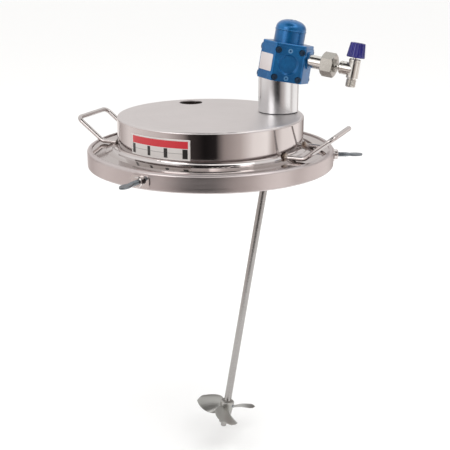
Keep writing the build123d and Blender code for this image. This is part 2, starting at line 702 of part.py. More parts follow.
def make_piston(index):
    """Cup piston at the top of its stroke, clear of the crank's sweep."""
    inner = CRANK_THROW + CRANK_PIN_R + PISTON_GAP
    radius = CYLINDER_R - PISTON_CLEARANCE
    piston = rod(radius, PISTON_LENGTH, inner)
    piston = chamfer(piston.edges().group_by(Axis.Z)[0], EDGE_CHAMFER)
    piston -= rod(radius - PISTON_SKIRT, PISTON_LENGTH, inner + PISTON_CROWN)
    return on_drive(cylinder_frame(index) * piston)


def make_crankshaft():
    """Motor shaft with one eccentric crank pin on which the pistons bear."""
    journal = BEARING_INNER_R - RUNNING_CLEARANCE
    bottom = COUPLING_BOTTOM + COUPLING_LENGTH / 2
    top = MOTOR_TOP - TOP_COVER_THICK
    shaft = rod(journal, top - bottom, bottom)
    pin = rod(CRANK_PIN_R, CRANK_PIN_LENGTH, CYLINDER_STATION - CRANK_PIN_LENGTH / 2)
    throw = Rot(0, 0, MOTOR_AZIMUTH) * Pos(CRANK_THROW, 0, 0)
    return on_drive(shaft + throw * pin)


# --- Muffler -----------------------------------------------------------------


def make_muffler_body():
    """Round silencer chamber on the motor's top cover."""
    body = tube(MUFFLER_R, MUFFLER_R - MUFFLER_WALL, MUFFLER_BODY_HEIGHT, MOTOR_TOP)
    return on_drive(body)


def make_muffler_cap():
    """Domed lid of the silencer with a raised lip and a spigot inside the body."""
    bottom = MOTOR_TOP + MUFFLER_BODY_HEIGHT
    lip_r = MUFFLER_R + MUFFLER_CAP_LIP
    cap = rod(lip_r, MUFFLER_LIP_HEIGHT, bottom)
    cap = chamfer(cap.edges().group_by(Axis.Z)[-1], MUFFLER_CAP_LIP / 2)
    crown = rod(MUFFLER_R, MUFFLER_CAP_HEIGHT, bottom)
    cap += fillet(crown.edges().group_by(Axis.Z)[-1], MUFFLER_CROWN)
    hollow_r = MUFFLER_R - MUFFLER_WALL
    hollow = rod(hollow_r, MUFFLER_CAP_HEIGHT - MUFFLER_WALL, bottom)
    cap -= fillet(hollow.edges().group_by(Axis.Z)[-1], MUFFLER_CROWN - MUFFLER_WALL)
    step = 360 / EXHAUST_HOLE_COUNT
    for i in range(EXHAUST_HOLE_COUNT):
        vent = rod(EXHAUST_HOLE_R, MUFFLER_CAP_HEIGHT, bottom + MUFFLER_BODY_HEIGHT / 2)
        cap -= Rot(0, 0, MOTOR_AZIMUTH + step * i) * Pos(MUFFLER_VENT_CIRCLE, 0, 0) * vent
    return on_drive(cap)


def make_felt():
    """Felt silencing element inside the muffler."""
    outer = MUFFLER_R - MUFFLER_WALL - FELT_CLEARANCE
    felt = tube(outer, FELT_BORE_R, MUFFLER_BODY_HEIGHT - FELT_CLEARANCE, MOTOR_TOP + FELT_CLEARANCE)
    return on_drive(felt)


# --- Shaft and propeller -----------------------------------------------------


def make_coupling():
    """Sleeve that joins the motor shaft to the agitator shaft."""
    sleeve = rod(COUPLING_R, COUPLING_LENGTH, COUPLING_BOTTOM)
    sleeve = chamfer(sleeve.edges().group_by(Axis.Z)[0] + sleeve.edges().group_by(Axis.Z)[-1], EDGE_CHAMFER)
    middle = COUPLING_BOTTOM + COUPLING_LENGTH / 2
    sleeve -= rod(SHAFT_R, COUPLING_LENGTH, middle - COUPLING_LENGTH)
    sleeve -= rod(BEARING_INNER_R, COUPLING_LENGTH, middle)
    for station in coupling_screw_stations():
        sleeve -= Pos(0, 0, station) * Rot(0, 90, 0) * rod(SET_SCREW_R, BIG)
    return on_drive(sleeve)


def coupling_screw_stations():
    """Stations of the two set screws, one for each shaft."""
    return [COUPLING_BOTTOM + COUPLING_LENGTH * share for share in (0.25, 0.75)]


def set_screw(shaft_r, outer_r):
    """Set screw about Z from a shaft's surface to just inside a sleeve's, with a hexagon socket."""
    end = outer_r - SET_SCREW_SINK
    screw = rod(SET_SCREW_R, end - shaft_r, shaft_r)
    return screw - Pos(0, 0, end - SET_SCREW_SOCKET) * extrude(RegularPolygon(SET_SCREW_R / 2, 6), outer_r)


def make_coupling_screws():
    """Cup-point set screws in the coupling."""
    screws = []
    for station, shaft_r in zip(coupling_screw_stations(), (SHAFT_R, BEARING_INNER_R)):
        screws.append(on_drive(Rot(0, 90, 0) * set_screw(shaft_r, COUPLING_R), station))
    return Compound(children=screws)


def make_shaft():
    """Round agitator shaft with a turned-down end for the propeller's nut."""
    top = COUPLING_BOTTOM + COUPLING_LENGTH / 2
    shoulder = top - SHAFT_LENGTH + SHAFT_END_LENGTH
    shaft = rod(SHAFT_R, SHAFT_LENGTH - SHAFT_END_LENGTH, shoulder)
    end = rod(SHAFT_END_R, SHAFT_END_LENGTH, shoulder - SHAFT_END_LENGTH)
    end = chamfer(end.edges().group_by(Axis.Z)[0], EDGE_CHAMFER)
    return on_drive(shaft + end)


def blade_section(radius):
    """Lens-shaped blade section at a radius: chord, thickness and pitch angle all vary."""
    share = (radius - BLADE_INNER_R) / (PROPELLER_R - BLADE_INNER_R)
    chord = BLADE_CHORD * (BLADE_ROOT_CHORD + BLADE_CHORD_GROWTH * share - BLADE_CHORD_TAPER * share**2)
    thick = BLADE_ROOT_THICK + (BLADE_TIP_THICK - BLADE_ROOT_THICK) * share
    pitch_angle = degrees(atan(PROPELLER_PITCH / (2 * pi * radius)))
    back = ThreePointArc((-chord / 2, 0), (0, thick), (chord / 2, 0))
    face = Line((chord / 2, 0), (-chord / 2, 0))
    lens = make_face(back + face)
    return Pos(radius, 0, 0) * Rot(0, 90, 0) * Rot(0, 0, 90 - pitch_angle) * lens


def make_blade():
    """Twisted blade: a loft of lens sections from inside the hub to a rounded tip."""
    span = PROPELLER_R - BLADE_INNER_R
    return loft([blade_section(BLADE_INNER_R + span * share) for share in BLADE_STATIONS])


def make_propeller():
    """Three-bladed propeller with a tapered hub."""
    hub = cone(HUB_R - HUB_TAPER, HUB_R, HUB_LENGTH, HUB_BOTTOM)
    wheel = fillet(hub.edges().group_by(Axis.Z)[-1], HUB_ROUNDING)
    for i in range(BLADE_COUNT):
        turn = Rot(0, 0, BLADE_AZIMUTH + 360 / BLADE_COUNT * i)
        wheel += turn * Pos(0, 0, HUB_BOTTOM + HUB_LENGTH / 2) * make_blade()
    wheel -= rod(SHAFT_R, BIG, SHAFT_SHOULDER)
    wheel -= rod(SHAFT_END_R, HUB_LENGTH, HUB_BOTTOM)
    hole = Rot(0, 90, 0) * rod(SET_SCREW_R, BIG)
    wheel -= Pos(0, 0, HUB_SCREW_STATION) * Rot(0, 0, HUB_SCREW_AZIMUTH) * hole
    return on_drive(wheel)


def make_hub_screw():
    """Set screw of the propeller's hub."""
    screw = Rot(0, 90, 0) * set_screw(SHAFT_R, HUB_R)
    return on_drive(Rot(0, 0, HUB_SCREW_AZIMUTH) * screw, HUB_SCREW_STATION)


def make_washer():
    """Washer under the propeller."""
    return on_drive(tube(WASHER_R, SHAFT_END_R, WASHER_THICK, HUB_BOTTOM - WASHER_THICK))


def make_nut():
    """Hexagon nut that holds the propeller on the shaft's end."""
    nut = hexagon(NUT_FLATS, NUT_THICK, HUB_BOTTOM - WASHER_THICK - NUT_THICK)
    return on_drive(nut - rod(SHAFT_END_R, BIG, HUB_BOTTOM - BIG))


# --- Air inlet ---------------------------------------------------------------


def on_inlet(shape, reach=0.0):
    """Place a shape, made about Z, on the inlet's axis at a distance from the drive axis."""
    axis = Rot(0, 0, INLET_AZIMUTH) * Pos(0, 0, INLET_STATION) * Rot(0, 90, 0)
    return on_drive(axis * Pos(0, 0, reach) * shape)


def on_valve(shape):
    """Place a shape, made about Z, on the valve's axis, level with the inlet."""
    return on_drive(Rot(0, 0, INLET_AZIMUTH) * Pos(VALVE_AXIS, 0, INLET_STATION) * shape)


def make_nipple():
    """Short pipe nipple between the motor and the union."""
    nipple = tube(NIPPLE_R, AIR_BORE_R, NIPPLE_LENGTH)
    return on_inlet(nipple, NIPPLE_START)


def make_union():
    """Hexagon union nut with a round shoulder towards the valve."""
    nut = hexagon(UNION_FLATS, UNION_LENGTH)
    nut += rod(UNION_SHOULDER_R, UNION_SHOULDER_LENGTH, UNION_LENGTH)
    nut -= rod(AIR_BORE_R, UNION_LENGTH + UNION_SHOULDER_LENGTH)
    return on_inlet(nut, UNION_START)


def make_tail():
    """Slim neck between the union and the valve."""
    return on_inlet(tube(TAIL_R, AIR_BORE_R, TAIL_LENGTH), TAIL_START)


def make_valve_body():
    """Angle valve body: side boss, upright barrel and a male threaded foot."""
    barrel = rod(VALVE_BODY_R, VALVE_TOP + VALVE_SKIRT, -VALVE_SKIRT)
    barrel = chamfer(barrel.edges().group_by(Axis.Z)[0] + barrel.edges().group_by(Axis.Z)[-1], EDGE_CHAMFER)
    foot = rod(THREAD_R, THREAD_LENGTH, -VALVE_SKIRT - THREAD_LENGTH)
    foot = chamfer(foot.edges().group_by(Axis.Z)[0], EDGE_CHAMFER)
    side = Rot(0, -90, 0) * rod(VALVE_BOSS_R, VALVE_REACH)
    body = barrel + foot + side
    body -= Rot(0, -90, 0) * rod(AIR_BORE_R, VALVE_REACH)
    body -= rod(THREAD_BORE_R, THREAD_LENGTH + VALVE_SKIRT - NEEDLE_TIP, -VALVE_SKIRT - THREAD_LENGTH)
    body -= rod(NEEDLE_R + RUNNING_CLEARANCE, BIG, -NEEDLE_TIP)
    body -= rod(GLAND_R, GLAND_HEIGHT, VALVE_TOP - GLAND_HEIGHT)
    return on_valve(body)


def make_gland():
    """Gland ring that retains the needle."""
    return on_valve(tube(GLAND_R, NEEDLE_R + RUNNING_CLEARANCE, GLAND_HEIGHT, VALVE_TOP - GLAND_HEIGHT))


def make_needle():
    """Valve needle with a conical point, which rises as the knob turns."""
    shank_bottom = NEEDLE_POINT - NEEDLE_TIP
    needle = rod(NEEDLE_R, VALVE_TOP + KNOB_SEAT + NEEDLE_TIP, shank_bottom)
    return on_valve(needle + cone(NEEDLE_POINT_R, NEEDLE_R, NEEDLE_POINT, shank_bottom - NEEDLE_POINT))


def make_knob():
    """Tapered fluted knob, hollow below, with a bore that clears the needle's travel."""
    bottom = VALVE_TOP + KNOB_SEAT
    knob = cone(KNOB_BASE_R, KNOB_TOP_R, KNOB_HEIGHT)
    knob = fillet(knob.edges().group_by(Axis.Z)[-1], KNOB_ROUNDING)
    lean = degrees(atan((KNOB_BASE_R - KNOB_TOP_R) / KNOB_HEIGHT))
    for i in range(KNOB_FLUTES):
        flute = Rot(0, -lean, 0) * rod(KNOB_FLUTE_R, 2 * KNOB_HEIGHT, KNOB_FLUTE_START)
        knob -= Rot(0, 0, 360 / KNOB_FLUTES * i) * Pos(KNOB_BASE_R + KNOB_FLUTE_R / 2, 0, 0) * flute
    knob -= rod(NEEDLE_R + RUNNING_CLEARANCE, NEEDLE_POINT + NEEDLE_TRAVEL + KNOB_WALL)
    knob -= tube(KNOB_BASE_R - KNOB_WALL, NEEDLE_R + KNOB_WALL, KNOB_HEIGHT / 3)
    return on_valve(Pos(0, 0, bottom) * knob)


# --- Build and export --------------------------------------------------------

parts["lid_pan"] = make_lid()
parts["rim_ring"] = make_rim()
parts["rim_gasket"] = make_gasket()
parts["rating_plate"] = make_rating_plate()
for number, azimuth in enumerate(HANDLE_AZIMUTHS, 1):
    parts[f"lifting_handle_{number}"] = make_handle(azimuth)
for number, azimuth in enumerate(clamp_azimuths(), 1):
    parts[f"clamp_saddle_{number}"] = make_saddle(azimuth)
    parts[f"clamp_screw_{number}"] = make_clamp_screw(azimuth)
    parts[f"clamp_pad_{number}"] = make_pad(azimuth)
parts["adapter_tube"] = make_adapter()
parts["adapter_gasket"] = make_adapter_gasket()
parts["adapter_screws"] = make_adapter_screws()
parts["shaft_bush"] = make_bush()
parts["shaft_seal"] = make_shaft_seal()
parts["motor_housing"] = make_motor_housing()
parts["motor_top_cover"] = make_top_cover()
parts["motor_screws"] = make_motor_screws()
parts["top_cover_screws"] = make_top_screws()
parts["cylinder_cap_screws"] = make_cap_screws()
parts["cylinder_cap_plugs"] = make_cap_plugs()
for number in range(1, CYLINDER_COUNT + 1):
    parts[f"cylinder_cap_{number}"] = make_cylinder_cap(number - 1)
    parts[f"piston_{number}"] = make_piston(number - 1)
parts["lower_bearing"] = make_bearing(MOTOR_BASE + HOUSING_FLOOR - BEARING_WIDTH)
parts["upper_bearing"] = make_bearing(MOTOR_TOP - TOP_COVER_THICK - BEARING_WIDTH + 1)
parts["muffler_body"] = make_muffler_body()
parts["muffler_cap"] = make_muffler_cap()
parts["muffler_felt"] = make_felt()
parts["crankshaft"] = make_crankshaft()
parts["shaft_coupling"] = make_coupling()
parts["coupling_set_screws"] = make_coupling_screws()
parts["agitator_shaft"] = make_shaft()
parts["propeller"] = make_propeller()
parts["hub_set_screw"] = make_hub_screw()
parts["propeller_washer"] = make_washer()
parts["propeller_nut"] = make_nut()
parts["inlet_nipple"] = make_nipple()
parts["union_nut"] = make_union()
parts["union_tail"] = make_tail()
parts["valve_body"] = make_valve_body()
parts["valve_gland"] = make_gland()
parts["valve_needle"] = make_needle()
parts["valve_knob"] = make_knob()

os.makedirs("parts", exist_ok=True)
for name, shape in parts.items():
    export_step(shape, f"parts/{name}.step")
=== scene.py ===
import json
import logging
from dataclasses import dataclass, replace
from enum import Enum
from math import atan2, cos, pi, radians, sin, sqrt
from typing import Callable, Iterable, Sequence

import bpy
from mathutils import Matrix, Vector

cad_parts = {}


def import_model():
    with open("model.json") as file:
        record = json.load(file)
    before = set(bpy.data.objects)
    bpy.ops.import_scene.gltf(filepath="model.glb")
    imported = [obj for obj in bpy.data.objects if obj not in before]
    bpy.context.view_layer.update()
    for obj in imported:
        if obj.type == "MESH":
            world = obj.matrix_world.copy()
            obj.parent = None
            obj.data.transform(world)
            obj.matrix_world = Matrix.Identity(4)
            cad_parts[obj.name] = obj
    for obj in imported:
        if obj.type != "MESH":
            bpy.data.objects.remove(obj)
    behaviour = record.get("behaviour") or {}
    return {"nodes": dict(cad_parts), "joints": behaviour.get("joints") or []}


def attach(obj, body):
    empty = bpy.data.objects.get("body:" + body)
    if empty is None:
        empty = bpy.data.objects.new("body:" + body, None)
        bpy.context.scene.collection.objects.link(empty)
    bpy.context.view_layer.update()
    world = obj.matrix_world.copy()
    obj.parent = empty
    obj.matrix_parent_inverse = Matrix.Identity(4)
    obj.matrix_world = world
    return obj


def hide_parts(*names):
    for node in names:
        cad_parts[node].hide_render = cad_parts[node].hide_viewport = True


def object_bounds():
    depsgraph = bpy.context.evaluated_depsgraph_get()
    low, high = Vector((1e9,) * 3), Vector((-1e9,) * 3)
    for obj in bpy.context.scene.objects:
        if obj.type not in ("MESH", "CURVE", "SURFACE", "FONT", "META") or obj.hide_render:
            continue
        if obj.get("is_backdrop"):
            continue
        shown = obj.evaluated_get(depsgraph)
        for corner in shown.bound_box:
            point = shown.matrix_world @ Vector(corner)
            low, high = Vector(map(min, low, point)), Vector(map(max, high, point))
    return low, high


Point = tuple[float, float]
Tones = tuple[tuple[float, str], ...]
Material = bpy.types.Material
Node = bpy.types.Node
Object = bpy.types.Object
Socket = bpy.types.NodeSocket
Tree = bpy.types.NodeTree

log = logging.getLogger("agitator")
MM = 0.001
# Points of an outline that lie closer than this are one point.
WELD = 0.002 * MM
SHADER = "Principled BSDF"
# A Mix node names its colour sockets like its other ones, so they are taken by number.
SHARE = 0
BELOW = 6
ABOVE = 7
MIXED = 2
# Nearly all of a noise texture lies between these two values.
NOISE_LOW = 0.3
NOISE_HIGH = 0.7
EDGE_SAMPLES = 4
# A face looks along an axis when its normal has more of it than this.
FACING = 0.9
# A point lies at a height when it is nearer to it than this, in mm.
NEAR_MM = 0.01
ORIGIN = (0, 0, 0)
UPRIGHT = (0, 0, 1)


# --- Shared helpers ----------------------------------------------------------


def to_linear(hex_colour: str) -> tuple[float, float, float, float]:
    """Turn an sRGB hex colour into linear RGBA.

    Args:
        hex_colour: Six hex digits with a leading hash.

    Returns:
        Linear red, green, blue and an alpha of 1.
    """
    channels = [int(hex_colour[i : i + 2], 16) / 255 for i in (1, 3, 5)]
    linear = [c / 12.92 if c <= 0.04045 else ((c + 0.055) / 1.055) ** 2.4 for c in channels]
    return (linear[0], linear[1], linear[2], 1.0)


def add_node(
    tree: Tree,
    kind: str,
    links: dict[str | int, Socket] | None = None,
    values: dict[str | int, object] | None = None,
    **settings: object,
) -> Node:
    """Add one node with its settings, input values and links.

    Args:
        tree: The node tree that gets the node.
        kind: The node's type name.
        links: Output sockets to join to the node's inputs, by input name or index.
        values: Fixed values for the node's inputs, by input name or index.
        **settings: Properties of the node itself.

    Returns:
        The new node.
    """
    node = tree.nodes.new(kind)
    for name, value in settings.items():
        setattr(node, name, value)
    for socket, value in (values or {}).items():
        node.inputs[socket].default_value = value
    for socket, output in (links or {}).items():
        tree.links.new(output, node.inputs[socket])
    return node


def ramp_stops(node: Node, stops: Tones) -> None:
    """Set a colour ramp's stops.

    Args:
        node: A colour ramp node.
        stops: Positions and sRGB hex colours, in order.
    """
    elements = node.color_ramp.elements
    while len(elements) > 1:
        elements.remove(elements[-1])
    elements[0].position, elements[0].color = stops[0][0], to_linear(stops[0][1])
    for position, colour in stops[1:]:
        elements.new(position).color = to_linear(colour)


def start_material(name: str) -> tuple[Material, Tree]:
    """Start a material.

    Args:
        name: The material's name.

    Returns:
        The material and its node tree, with a shader and an output in it.
    """
    material = bpy.data.materials.new(name)
    material.use_nodes = True
    return material, material.node_tree


# --- Kinds of finish ---------------------------------------------------------


class Lay(Enum):
    """Which way the tool marks of a metal run."""

    CIRCULAR = "circular"
    ALONG = "along"
    RANDOM = "random"


@dataclass(frozen=True)
class Finish:
    """What the finishes share: two shades that drift into each other, a sheen and a relief."""

    name: str
    colour: str
    drift: str
    roughness: float
    spread: float = 0.06
    depth_mm: float = 0.01

    def sheen_and_relief(self, tree: Tree, pattern: Socket, edge: Node) -> None:
        """Let a pattern vary the roughness and raise the surface a little.

        Args:
            tree: The material's node tree.
            pattern: The grain or the tool marks.
            edge: The node that rounds the edges.
        """
        shader = tree.nodes[SHADER]
        rough = add_node(
            tree,
            "ShaderNodeMapRange",
            {"Value": pattern},
            {
                "From Min": NOISE_LOW,
                "From Max": NOISE_HIGH,
                "To Min": self.roughness - self.spread,
                "To Max": self.roughness + self.spread,
            },
        )
        tree.links.new(rough.outputs["Result"], shader.inputs["Roughness"])
        bump = add_node(
            tree,
            "ShaderNodeBump",
            {"Height": pattern, "Normal": edge.outputs["Normal"]},
            {"Strength": 1.0, "Distance": self.depth_mm * MM},
        )
        tree.links.new(bump.outputs["Normal"], shader.inputs["Normal"])


@dataclass(frozen=True)
class MetalFinish(Finish):
    """A bare metal with tool marks, faint staining and a soft highlight on its edges.

    The marks are a noise stretched along the lay. Their pitch is drawn a few times
    coarser than the real grit, so that they show.
    """

    lay: Lay = Lay.RANDOM
    axis: tuple[float, ...] = (0.0, 0.0, 1.0)
    centre: tuple[float, ...] = (0.0, 0.0, 0.0)
    pitch_mm: float = 1.0
    edge_mm: float = 0.25
    stain_mm: float = 45.0
    # A straight mark's width as a share of its length, and the length that a mark
    # round an axis gives to each radian, so that it hardly changes as it goes round.
    slimness: float = 0.02
    radian_mm: float = 0.02

    def build(self) -> Material:
        """Make the material.

        Returns:
            A metal with procedural tool marks.
        """
        material, tree = start_material(self.name)
        shader = tree.nodes[SHADER]
        shader.inputs["Metallic"].default_value = 1.0
        marks = add_node(
            tree,
            "ShaderNodeTexNoise",
            {"Vector": self.mark_coordinates(tree)},
            {"Scale": 1.0, "Detail": 4.0, "Roughness": 0.6},
        )
        coords = add_node(tree, "ShaderNodeTexCoord")
        stain = add_node(
            tree,
            "ShaderNodeTexNoise",
            {"Vector": coords.outputs["Object"]},
            {"Scale": 1 / (self.stain_mm * MM), "Detail": 3.0, "Roughness": 0.55},
        )
        shades = {BELOW: to_linear(self.colour), ABOVE: to_linear(self.drift)}
        colour = add_node(tree, "ShaderNodeMix", {SHARE: stain.outputs["Fac"]}, shades, data_type="RGBA")
        tree.links.new(colour.outputs[MIXED], shader.inputs["Base Color"])
        edge = add_node(tree, "ShaderNodeBevel", None, {"Radius": self.edge_mm * MM}, samples=EDGE_SAMPLES)
        self.sheen_and_relief(tree, marks.outputs["Fac"], edge)
        return material

    def mark_coordinates(self, tree: Tree) -> Socket:
        """Coordinates, in mark pitches, stretched along the lay.

        Args:
            tree: The material's node tree.

        Returns:
            A vector output for the noise.
        """
        coords = add_node(tree, "ShaderNodeTexCoord")
        moved = add_node(
            tree,
            "ShaderNodeVectorMath",
            {0: coords.outputs["Object"]},
            {1: self.centre},
            operation="SUBTRACT",
        )
        turn = Vector(self.axis).to_track_quat("Z", "Y").inverted()
        local = add_node(
            tree,
            "ShaderNodeMapping",
            {"Vector": moved.outputs["Vector"]},
            {"Rotation": turn.to_euler()},
        )
        source = local.outputs["Vector"]
        scale = 1 / (self.pitch_mm * MM)
        stretch = (scale, scale, scale)
        if self.lay is Lay.ALONG:
            stretch = (scale, scale, scale * self.slimness)
        elif self.lay is Lay.CIRCULAR:
            stretch = (scale, scale * self.radian_mm * MM, scale)
            source = self.polar(tree, source)
        stretched = add_node(tree, "ShaderNodeVectorMath", {0: source}, {1: stretch}, operation="MULTIPLY")
        return stretched.outputs["Vector"]

    @staticmethod
    def polar(tree: Tree, vector: Socket) -> Socket:
        """Radius, angle and height of a point about the local Z axis.

        Args:
            tree: The material's node tree.
            vector: Local coordinates.

        Returns:
            A vector output of radius, angle and height.
        """
        split = add_node(tree, "ShaderNodeSeparateXYZ", {0: vector})
        flat = add_node(tree, "ShaderNodeVectorMath", {0: vector}, {1: (1, 1, 0)}, operation="MULTIPLY")
        radius = add_node(tree, "ShaderNodeVectorMath", {0: flat.outputs["Vector"]}, operation="LENGTH")
        sides = {0: split.outputs["Y"], 1: split.outputs["X"]}
        angle = add_node(tree, "ShaderNodeMath", sides, operation="ARCTAN2")
        parts = {"X": radius.outputs["Value"], "Y": angle.outputs["Value"], "Z": split.outputs["Z"]}
        return add_node(tree, "ShaderNodeCombineXYZ", parts).outputs["Vector"]


@dataclass(frozen=True)
class CoatFinish(Finish):
    """A dyed, moulded or felted surface with a fine grain and slight fading."""

    metallic: float = 0.0
    coat: float = 0.0
    coat_roughness: float = 0.12
    grain_mm: float = 0.6
    edge_mm: float = 0.4
    fade_mm: float = 22.0
    fade_range: Point = (0.35, 0.65)
    # Wear starts where the edge's normal agrees with the face's by less than the first
    # value, is full at the second, and hides this share of the colour.
    worn: str | None = None
    wear_range: Point = (0.995, 0.9)
    wear_share: float = 0.7

    def build(self) -> Material:
        """Make the material.

        Returns:
            A coated material with grain, fading and, where asked, worn edges.
        """
        material, tree = start_material(self.name)
        shader = tree.nodes[SHADER]
        shader.inputs["Metallic"].default_value = self.metallic
        shader.inputs["Coat Weight"].default_value = self.coat
        shader.inputs["Coat Roughness"].default_value = self.coat_roughness
        coords = add_node(tree, "ShaderNodeTexCoord")
        grain = add_node(
            tree,
            "ShaderNodeTexNoise",
            {"Vector": coords.outputs["Object"]},
            {"Scale": 1 / (self.grain_mm * MM), "Detail": 3.0},
        )
        fading = add_node(
            tree,
            "ShaderNodeTexNoise",
            {"Vector": coords.outputs["Object"]},
            {"Scale": 1 / (self.fade_mm * MM), "Detail": 4.0, "Roughness": 0.6},
        )
        amount = add_node(
            tree,
            "ShaderNodeMapRange",
            {"Value": fading.outputs["Fac"]},
            {"From Min": self.fade_range[0], "From Max": self.fade_range[1]},
        )
        shades = {BELOW: to_linear(self.colour), ABOVE: to_linear(self.drift)}
        mixed = add_node(tree, "ShaderNodeMix", {SHARE: amount.outputs["Result"]}, shades, data_type="RGBA")
        colour = mixed.outputs[MIXED]
        edge = add_node(tree, "ShaderNodeBevel", None, {"Radius": self.edge_mm * MM}, samples=EDGE_SAMPLES)
        if self.worn:
            colour = self.wear(tree, colour, edge)
        tree.links.new(colour, shader.inputs["Base Color"])
        self.sheen_and_relief(tree, grain.outputs["Fac"], edge)
        return material

    def wear(self, tree: Tree, base: Socket, edge: Node) -> Socket:
        """Lighten the edges, where the rounded normal leaves the flat one.

        Args:
            tree: The material's node tree.
            base: The colour under the wear.
            edge: The node that rounds the edges.

        Returns:
            A colour output.
        """
        flat = add_node(tree, "ShaderNodeNewGeometry")
        agreement = add_node(
            tree,
            "ShaderNodeVectorMath",
            {0: edge.outputs["Normal"], 1: flat.outputs["Normal"]},
            operation="DOT_PRODUCT",
        )
        start, full = self.wear_range
        mask = add_node(
            tree,
            "ShaderNodeMapRange",
            {"Value": agreement.outputs["Value"]},
            {"From Min": start, "From Max": full, "To Min": 0.0, "To Max": self.wear_share},
        )
        layers = {SHARE: mask.outputs["Result"], BELOW: base}
        worn = {ABOVE: to_linear(self.worn)}
        return add_node(tree, "ShaderNodeMix", layers, worn, data_type="RGBA").outputs[MIXED]


@dataclass(frozen=True)
class LidFinish(MetalFinish):
    """The lid's metal: satin on top, buffed from the dome's wall down, with painted shade on the flange and
    inside.

    Heights and radii are in mm, from the lid's own origin.
    """

    wall_top: float = 46.0
    wall_blend: float = 0.6
    wall_foot: float = 6.2
    foot_blend: float = 3.0
    buffed: float = 0.08
    inside_top: float = 47.2
    inside_r: float = 119.3
    # Painted shade: the pressed colour darkens the inside of the lid, and the next one greys the flange.
    pressed: str = "#4A4644"
    flange_shade: str = "#AFA6A3"

    def build(self) -> Material:
        """Make the material.

        Returns:
            The satin metal, buffed below the dome's edge, with painted shade on the flange and inside.
        """
        material = super().build()
        tree = material.node_tree
        shader = tree.nodes[SHADER]
        satin = shader.inputs["Roughness"].links[0].from_socket
        coords = add_node(tree, "ShaderNodeTexCoord")
        split = add_node(tree, "ShaderNodeSeparateXYZ", {0: coords.outputs["Object"]})
        below = add_node(
            tree,
            "ShaderNodeMapRange",
            {"Value": split.outputs["Z"]},
            {
                "From Min": (self.wall_top + self.wall_blend) * MM,
                "From Max": (self.wall_top - self.wall_blend) * MM,
            },
        )
        rough = add_node(
            tree,
            "ShaderNodeMix",
            {SHARE: below.outputs["Result"], 2: satin},
            {3: self.buffed},
            data_type="FLOAT",
        )
        tree.links.new(rough.outputs[0], shader.inputs["Roughness"])
        self.shade_flange_and_inside(tree, split.outputs["Z"], coords.outputs["Object"])
        return material

    def shade_flange_and_inside(self, tree: Tree, height: Socket, place: Socket) -> None:
        """Paint shade on the lid: a greyer flange and a dark inside.

        Args:
            tree: The material's node tree.
            height: Height of a point.
            place: Coordinates of a point.
        """
        shader = tree.nodes[SHADER]
        polar = add_node(tree, "ShaderNodeSeparateXYZ", {0: self.polar(tree, place)})
        tests = [
            add_node(tree, "ShaderNodeMath", {0: measure}, {1: limit * MM}, operation="LESS_THAN")
            for measure, limit in ((height, self.inside_top), (polar.outputs["X"], self.inside_r))
        ]
        both = {0: tests[0].outputs[0], 1: tests[1].outputs[0]}
        inside = add_node(tree, "ShaderNodeMath", both, operation="MULTIPLY")
        low = add_node(
            tree,
            "ShaderNodeMapRange",
            {"Value": height},
            {"From Min": (self.wall_foot + self.foot_blend) * MM, "From Max": self.wall_foot * MM},
        )
        colour = shader.inputs["Base Color"].links[0].from_socket
        # Painted shade: the flange greyer, then the inside dark.
        for mask, shade in ((low.outputs["Result"], self.flange_shade), (inside.outputs[0], self.pressed)):
            layers = {SHARE: mask, BELOW: colour}
            over = {ABOVE: to_linear(shade)}
            colour = add_node(tree, "ShaderNodeMix", layers, over, data_type="RGBA").outputs[MIXED]
        tree.links.new(colour, shader.inputs["Base Color"])


@dataclass(frozen=True)
class TintedRod(MetalFinish):
    """A rod's metal, darker towards the dome and lighter outwards from it."""

    weld_r: float = 118.0
    tint_mm: float = 8.0
    tint: Tones = ((0.0, "#3A3432"), (0.3, "#5A4E48"), (0.6, "#B09F92"), (0.8, "#DDD6CC"), (1.0, "#FFFFFF"))

    def build(self) -> Material:
        """Make the material.

        Returns:
            The rod's metal, tinted towards the dome.
        """
        material = super().build()
        tree = material.node_tree
        shader = tree.nodes[SHADER]
        clean = shader.inputs["Base Color"].links[0].from_socket
        coords = add_node(tree, "ShaderNodeTexCoord")
        split = add_node(tree, "ShaderNodeSeparateXYZ", {0: self.polar(tree, coords.outputs["Object"])})
        share = add_node(
            tree,
            "ShaderNodeMapRange",
            {"Value": split.outputs["X"]},
            {"From Min": self.weld_r * MM, "From Max": (self.weld_r + self.tint_mm) * MM},
        )
        tint = add_node(tree, "ShaderNodeValToRGB", {"Fac": share.outputs["Result"]})
        ramp_stops(tint, self.tint)
        layers = {BELOW: clean, ABOVE: tint.outputs["Color"]}
        mixed = add_node(
            tree, "ShaderNodeMix", layers, {SHARE: 1.0}, data_type="RGBA", blend_type="MULTIPLY"
        )
        tree.links.new(mixed.outputs[MIXED], shader.inputs["Base Color"])
        return material


